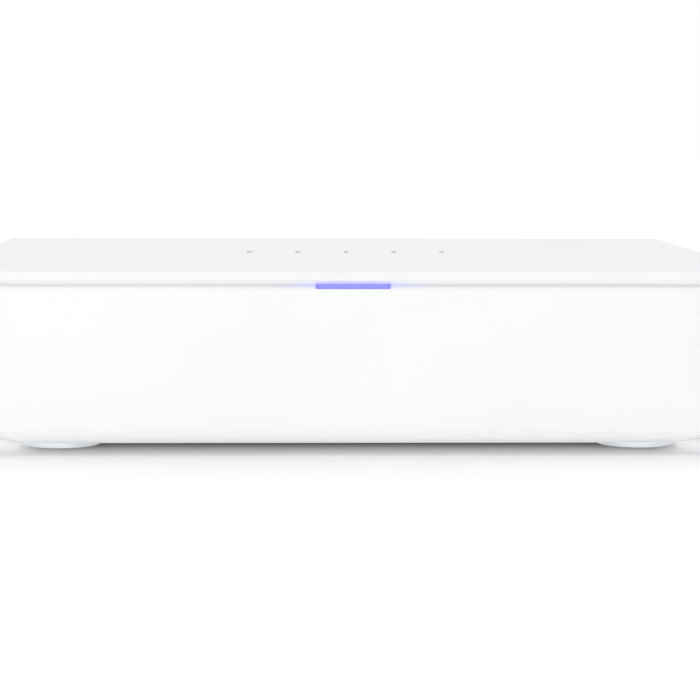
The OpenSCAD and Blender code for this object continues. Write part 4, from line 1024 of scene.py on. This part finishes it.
def floor_shine(tree, place, across, deep):
    """How strongly a point of the floor shines with painted light.

    It is the sum of three: a shine that rises with the distance from the middle, one beside the
    front feet, which paints light into the shadow where the case's rolled sides overhang the floor,
    and one under the front edge, which paints light into the contact shadow there. The last one
    fades towards the axis of each front foot, which paints a darker shade round them."""
    far = ramp(tree, distance(tree, place), *FAR_RISE, 0.0, FAR_SHINE)
    # Painted light beside the front feet, in the shadow under the overhang of the rolled sides
    beside = product(
        tree, ramp(tree, across, *SIDE_RISE, 0.0, SIDE_SHINE), ramp(tree, across, *SIDE_FALL, 1.0, 0.0),
        ramp(tree, deep, *SIDE_FRONT), ramp(tree, deep, *SIDE_REAR, 1.0, 0.0),
    )
    from_foot = add_node(tree, "ShaderNodeCombineXYZ", {
        "X": sum_node(tree, "SUBTRACT", across, FOOT_X), "Y": sum_node(tree, "ADD", deep, FOOT_Y),
    })
    # Painted light under the front edge, less a painted shade round each front foot
    lip = product(
        tree, ramp(tree, across, *SIDE_RISE, LIP_SHINE, 0.0), ramp(tree, deep, *LIP_RISE),
        ramp(tree, deep, *LIP_FALL, 1.0, 0.0),
        ramp(tree, distance(tree, from_foot.outputs["Vector"]), *TOE_SHADE),
    )
    return sum_node(tree, "ADD", far, sum_node(tree, "ADD", beside, lip))


def floor_finish():
    """White in soft clouds with painted shade as a dark grey patch under the case, a weak shine of painted
    light, and clear from below.
    """
    material, tree, shader, place = new_finish("studio_floor")
    clouds = spread(tree, grain(tree, place, FLOOR_CLOUD), 0, 1)
    parts = add_node(tree, "ShaderNodeSeparateXYZ", {"Vector": place})
    across = sum_node(tree, "ABSOLUTE", parts.outputs["X"])
    deep = parts.outputs["Y"]
    end = sum_node(tree, "ABSOLUTE", deep)
    # Painted shade: a dark grey patch under the case stands for its shadow on the floor
    painted_shade = product(tree, ramp(tree, across, *PAINTED_SHADE_WIDE, 1.0, 0.0), ramp(tree, end, *PAINTED_SHADE_DEEP, 1.0, 0.0))
    tone = two_tone(tree, painted_shade, two_tone(tree, clouds, *FLOOR_TONES), PAINTED_SHADE_TONE)
    tree.links.new(tone, shader.inputs["Base Color"])
    tree.links.new(floor_shine(tree, place, across, deep), shader.inputs["Emission Strength"])
    set_sockets(shader, {
        "Roughness": FLOOR_ROUGH, "Specular_IOR_Level": 0.0, "Emission_Color": (1, 1, 1, 1),
    })
    facing = add_node(tree, "ShaderNodeNewGeometry")
    clear = add_node(tree, "ShaderNodeBsdfTransparent")
    mixed = add_node(tree, "ShaderNodeMixShader", {
        "Fac": facing.outputs["Backfacing"], 1: shader.outputs["BSDF"], 2: clear.outputs["BSDF"],
    })
    tree.links.new(mixed.outputs["Shader"], tree.nodes["Material Output"].inputs["Surface"])
    return material


def make_floor():
    """A flat square floor on the table's level: a grid of even lines across and along."""
    side = np.linspace(-FLOOR_HALF, FLOOR_HALF, FLOOR_LINES)
    x, y = np.meshgrid(side, side)
    points = np.stack([x.ravel(), y.ravel(), np.zeros(x.size)], axis=1)
    mesh = bpy.data.meshes.new("studio_floor")
    mesh.from_pydata(points.tolist(), [], grid_faces(FLOOR_LINES, FLOOR_LINES, False, False))
    floor = bpy.data.objects.new("studio_floor", mesh)
    scene.collection.objects.link(floor)
    mesh.materials.append(floor_finish())


def piece_set(name, pieces):
    """A collection of pieces for a light to light or to be shaded by."""
    made = bpy.data.collections.new(name)
    for piece in pieces:
        made.objects.link(piece)
    return made


def soft_box(name, place, aim, size, power, lit=(), shading=()):
    """An area light at a place, turned to a point.

    It lights only the lit pieces and is shaded only by the shading ones, or by all if none are given."""
    lamp = bpy.data.lights.new(name, "AREA")
    lamp.shape = "RECTANGLE"
    lamp.size, lamp.size_y = size
    lamp.energy = power
    light = bpy.data.objects.new(name, lamp)
    scene.collection.objects.link(light)
    if lit:
        light.light_linking.receiver_collection = piece_set(name + "_lit", lit)
    if shading:
        light.light_linking.blocker_collection = piece_set(name + "_shading", shading)
    back = np.array(place, float) - np.array(aim, float)
    back /= np.linalg.norm(back)
    side = np.cross((0, 0, 1), back)
    side /= np.linalg.norm(side)
    turn = np.eye(4)
    turn[:3, 0] = side
    turn[:3, 1] = np.cross(back, side)
    turn[:3, 2] = back
    turn[:3, 3] = place
    light.matrix_world = Matrix(turn.tolist())
    light.visible_camera = False


def make_camera():
    """The camera: yaw to the right, pitch down and roll give its three axes."""
    yaw, pitch, roll = np.radians([CAMERA_YAW, CAMERA_PITCH, CAMERA_ROLL])
    ahead = np.array([np.sin(yaw) * np.cos(pitch), np.cos(yaw) * np.cos(pitch), -np.sin(pitch)])
    level = np.array([np.cos(yaw), -np.sin(yaw), 0])
    upright = np.cross(level, ahead)
    turn = np.eye(4)
    turn[:3, 0] = np.cos(roll) * level + np.sin(roll) * upright
    turn[:3, 1] = np.cos(roll) * upright - np.sin(roll) * level
    turn[:3, 2] = -ahead
    turn[:3, 3] = CAMERA_PLACE
    lens = bpy.data.cameras.new("camera")
    lens.sensor_width = SENSOR_WIDTH
    lens.lens = FOCAL_PIXELS / PICTURE_SIDE * SENSOR_WIDTH
    lens.clip_start = CLIP_NEAR
    lens.clip_end = CLIP_FAR
    camera = bpy.data.objects.new("camera", lens)
    scene.collection.objects.link(camera)
    camera.matrix_world = Matrix(turn.tolist())
    scene.camera = camera


def make_world():
    """A white studio that grows brighter upwards, and is plain white where it shows.

    The light from a direction is a low value plus a gain times its upward part, and all of it is
    a little stronger towards the rear than towards the front."""
    world = bpy.data.worlds.new("studio")
    scene.world = world
    world.use_nodes = True
    tree = world.node_tree
    sky = tree.nodes["Background"]
    sky.inputs["Color"].default_value = (1, 1, 1, 1)
    direction = add_node(tree, "ShaderNodeTexCoord")
    parts = add_node(tree, "ShaderNodeSeparateXYZ", {"Vector": direction.outputs["Generated"]})
    high = sum_node(tree, "MAXIMUM", parts.outputs["Z"], 0.0)
    level = sum_node(tree, "MULTIPLY_ADD", high, SKY_HIGH, SKY_LOW)
    tilt = sum_node(tree, "MULTIPLY_ADD", parts.outputs["Y"], SKY_TILT, 1.0)
    bright = sum_node(tree, "MULTIPLY", level, tilt)
    path = add_node(tree, "ShaderNodeLightPath")
    shown = add_node(tree, "ShaderNodeMix", {
        "Factor": path.outputs["Is Camera Ray"], "A": bright, "B": 1.0,
    })
    tree.links.new(shown.outputs["Result"], sky.inputs["Strength"])


make_floor()
make_world()

# Lights: three for the whole, one for the feet, one for the tub, one for the lid, one for the underside
CASE_MIDDLE = (0, 0, 20 * MM)
case_pieces = [case_tub, case_lid]
soft_box("key_light", place=(-0.5, -1.9, 0.10), aim=CASE_MIDDLE, size=(1.2, 0.18), power=7.3)
soft_box("left_light", place=(-1.0, 0.3, 0.35), aim=CASE_MIDDLE, size=(0.6, 0.6), power=0.8)
soft_box("right_light", place=(1.0, 0.3, 0.35), aim=CASE_MIDDLE, size=(0.6, 0.6), power=0.8)
soft_box(
    "foot_light", place=(0, -0.8, 0.03), aim=(0, 0, 0.01), size=(0.9, 0.03), power=3.25, lit=foot_pads,
)
soft_box(
    "front_card", place=(0, -0.19, -0.05), aim=(0, -0.085, 0.008), size=(0.34, 0.08), power=0.041,
    lit=[case_tub], shading=case_pieces,
)
soft_box(
    "band_light", place=(0.1, -0.5, 0.035), aim=(0, -0.085, 0.045), size=(0.4, 0.02), power=0.11,
    lit=[case_lid],
)
soft_box(
    "under_light", place=(0, -0.001, -0.012), aim=(0, 0, 0), size=(0.17, 0.13), power=0.045,
    shading=case_pieces,
)
make_camera()
scene.view_settings.view_transform = "Standard"
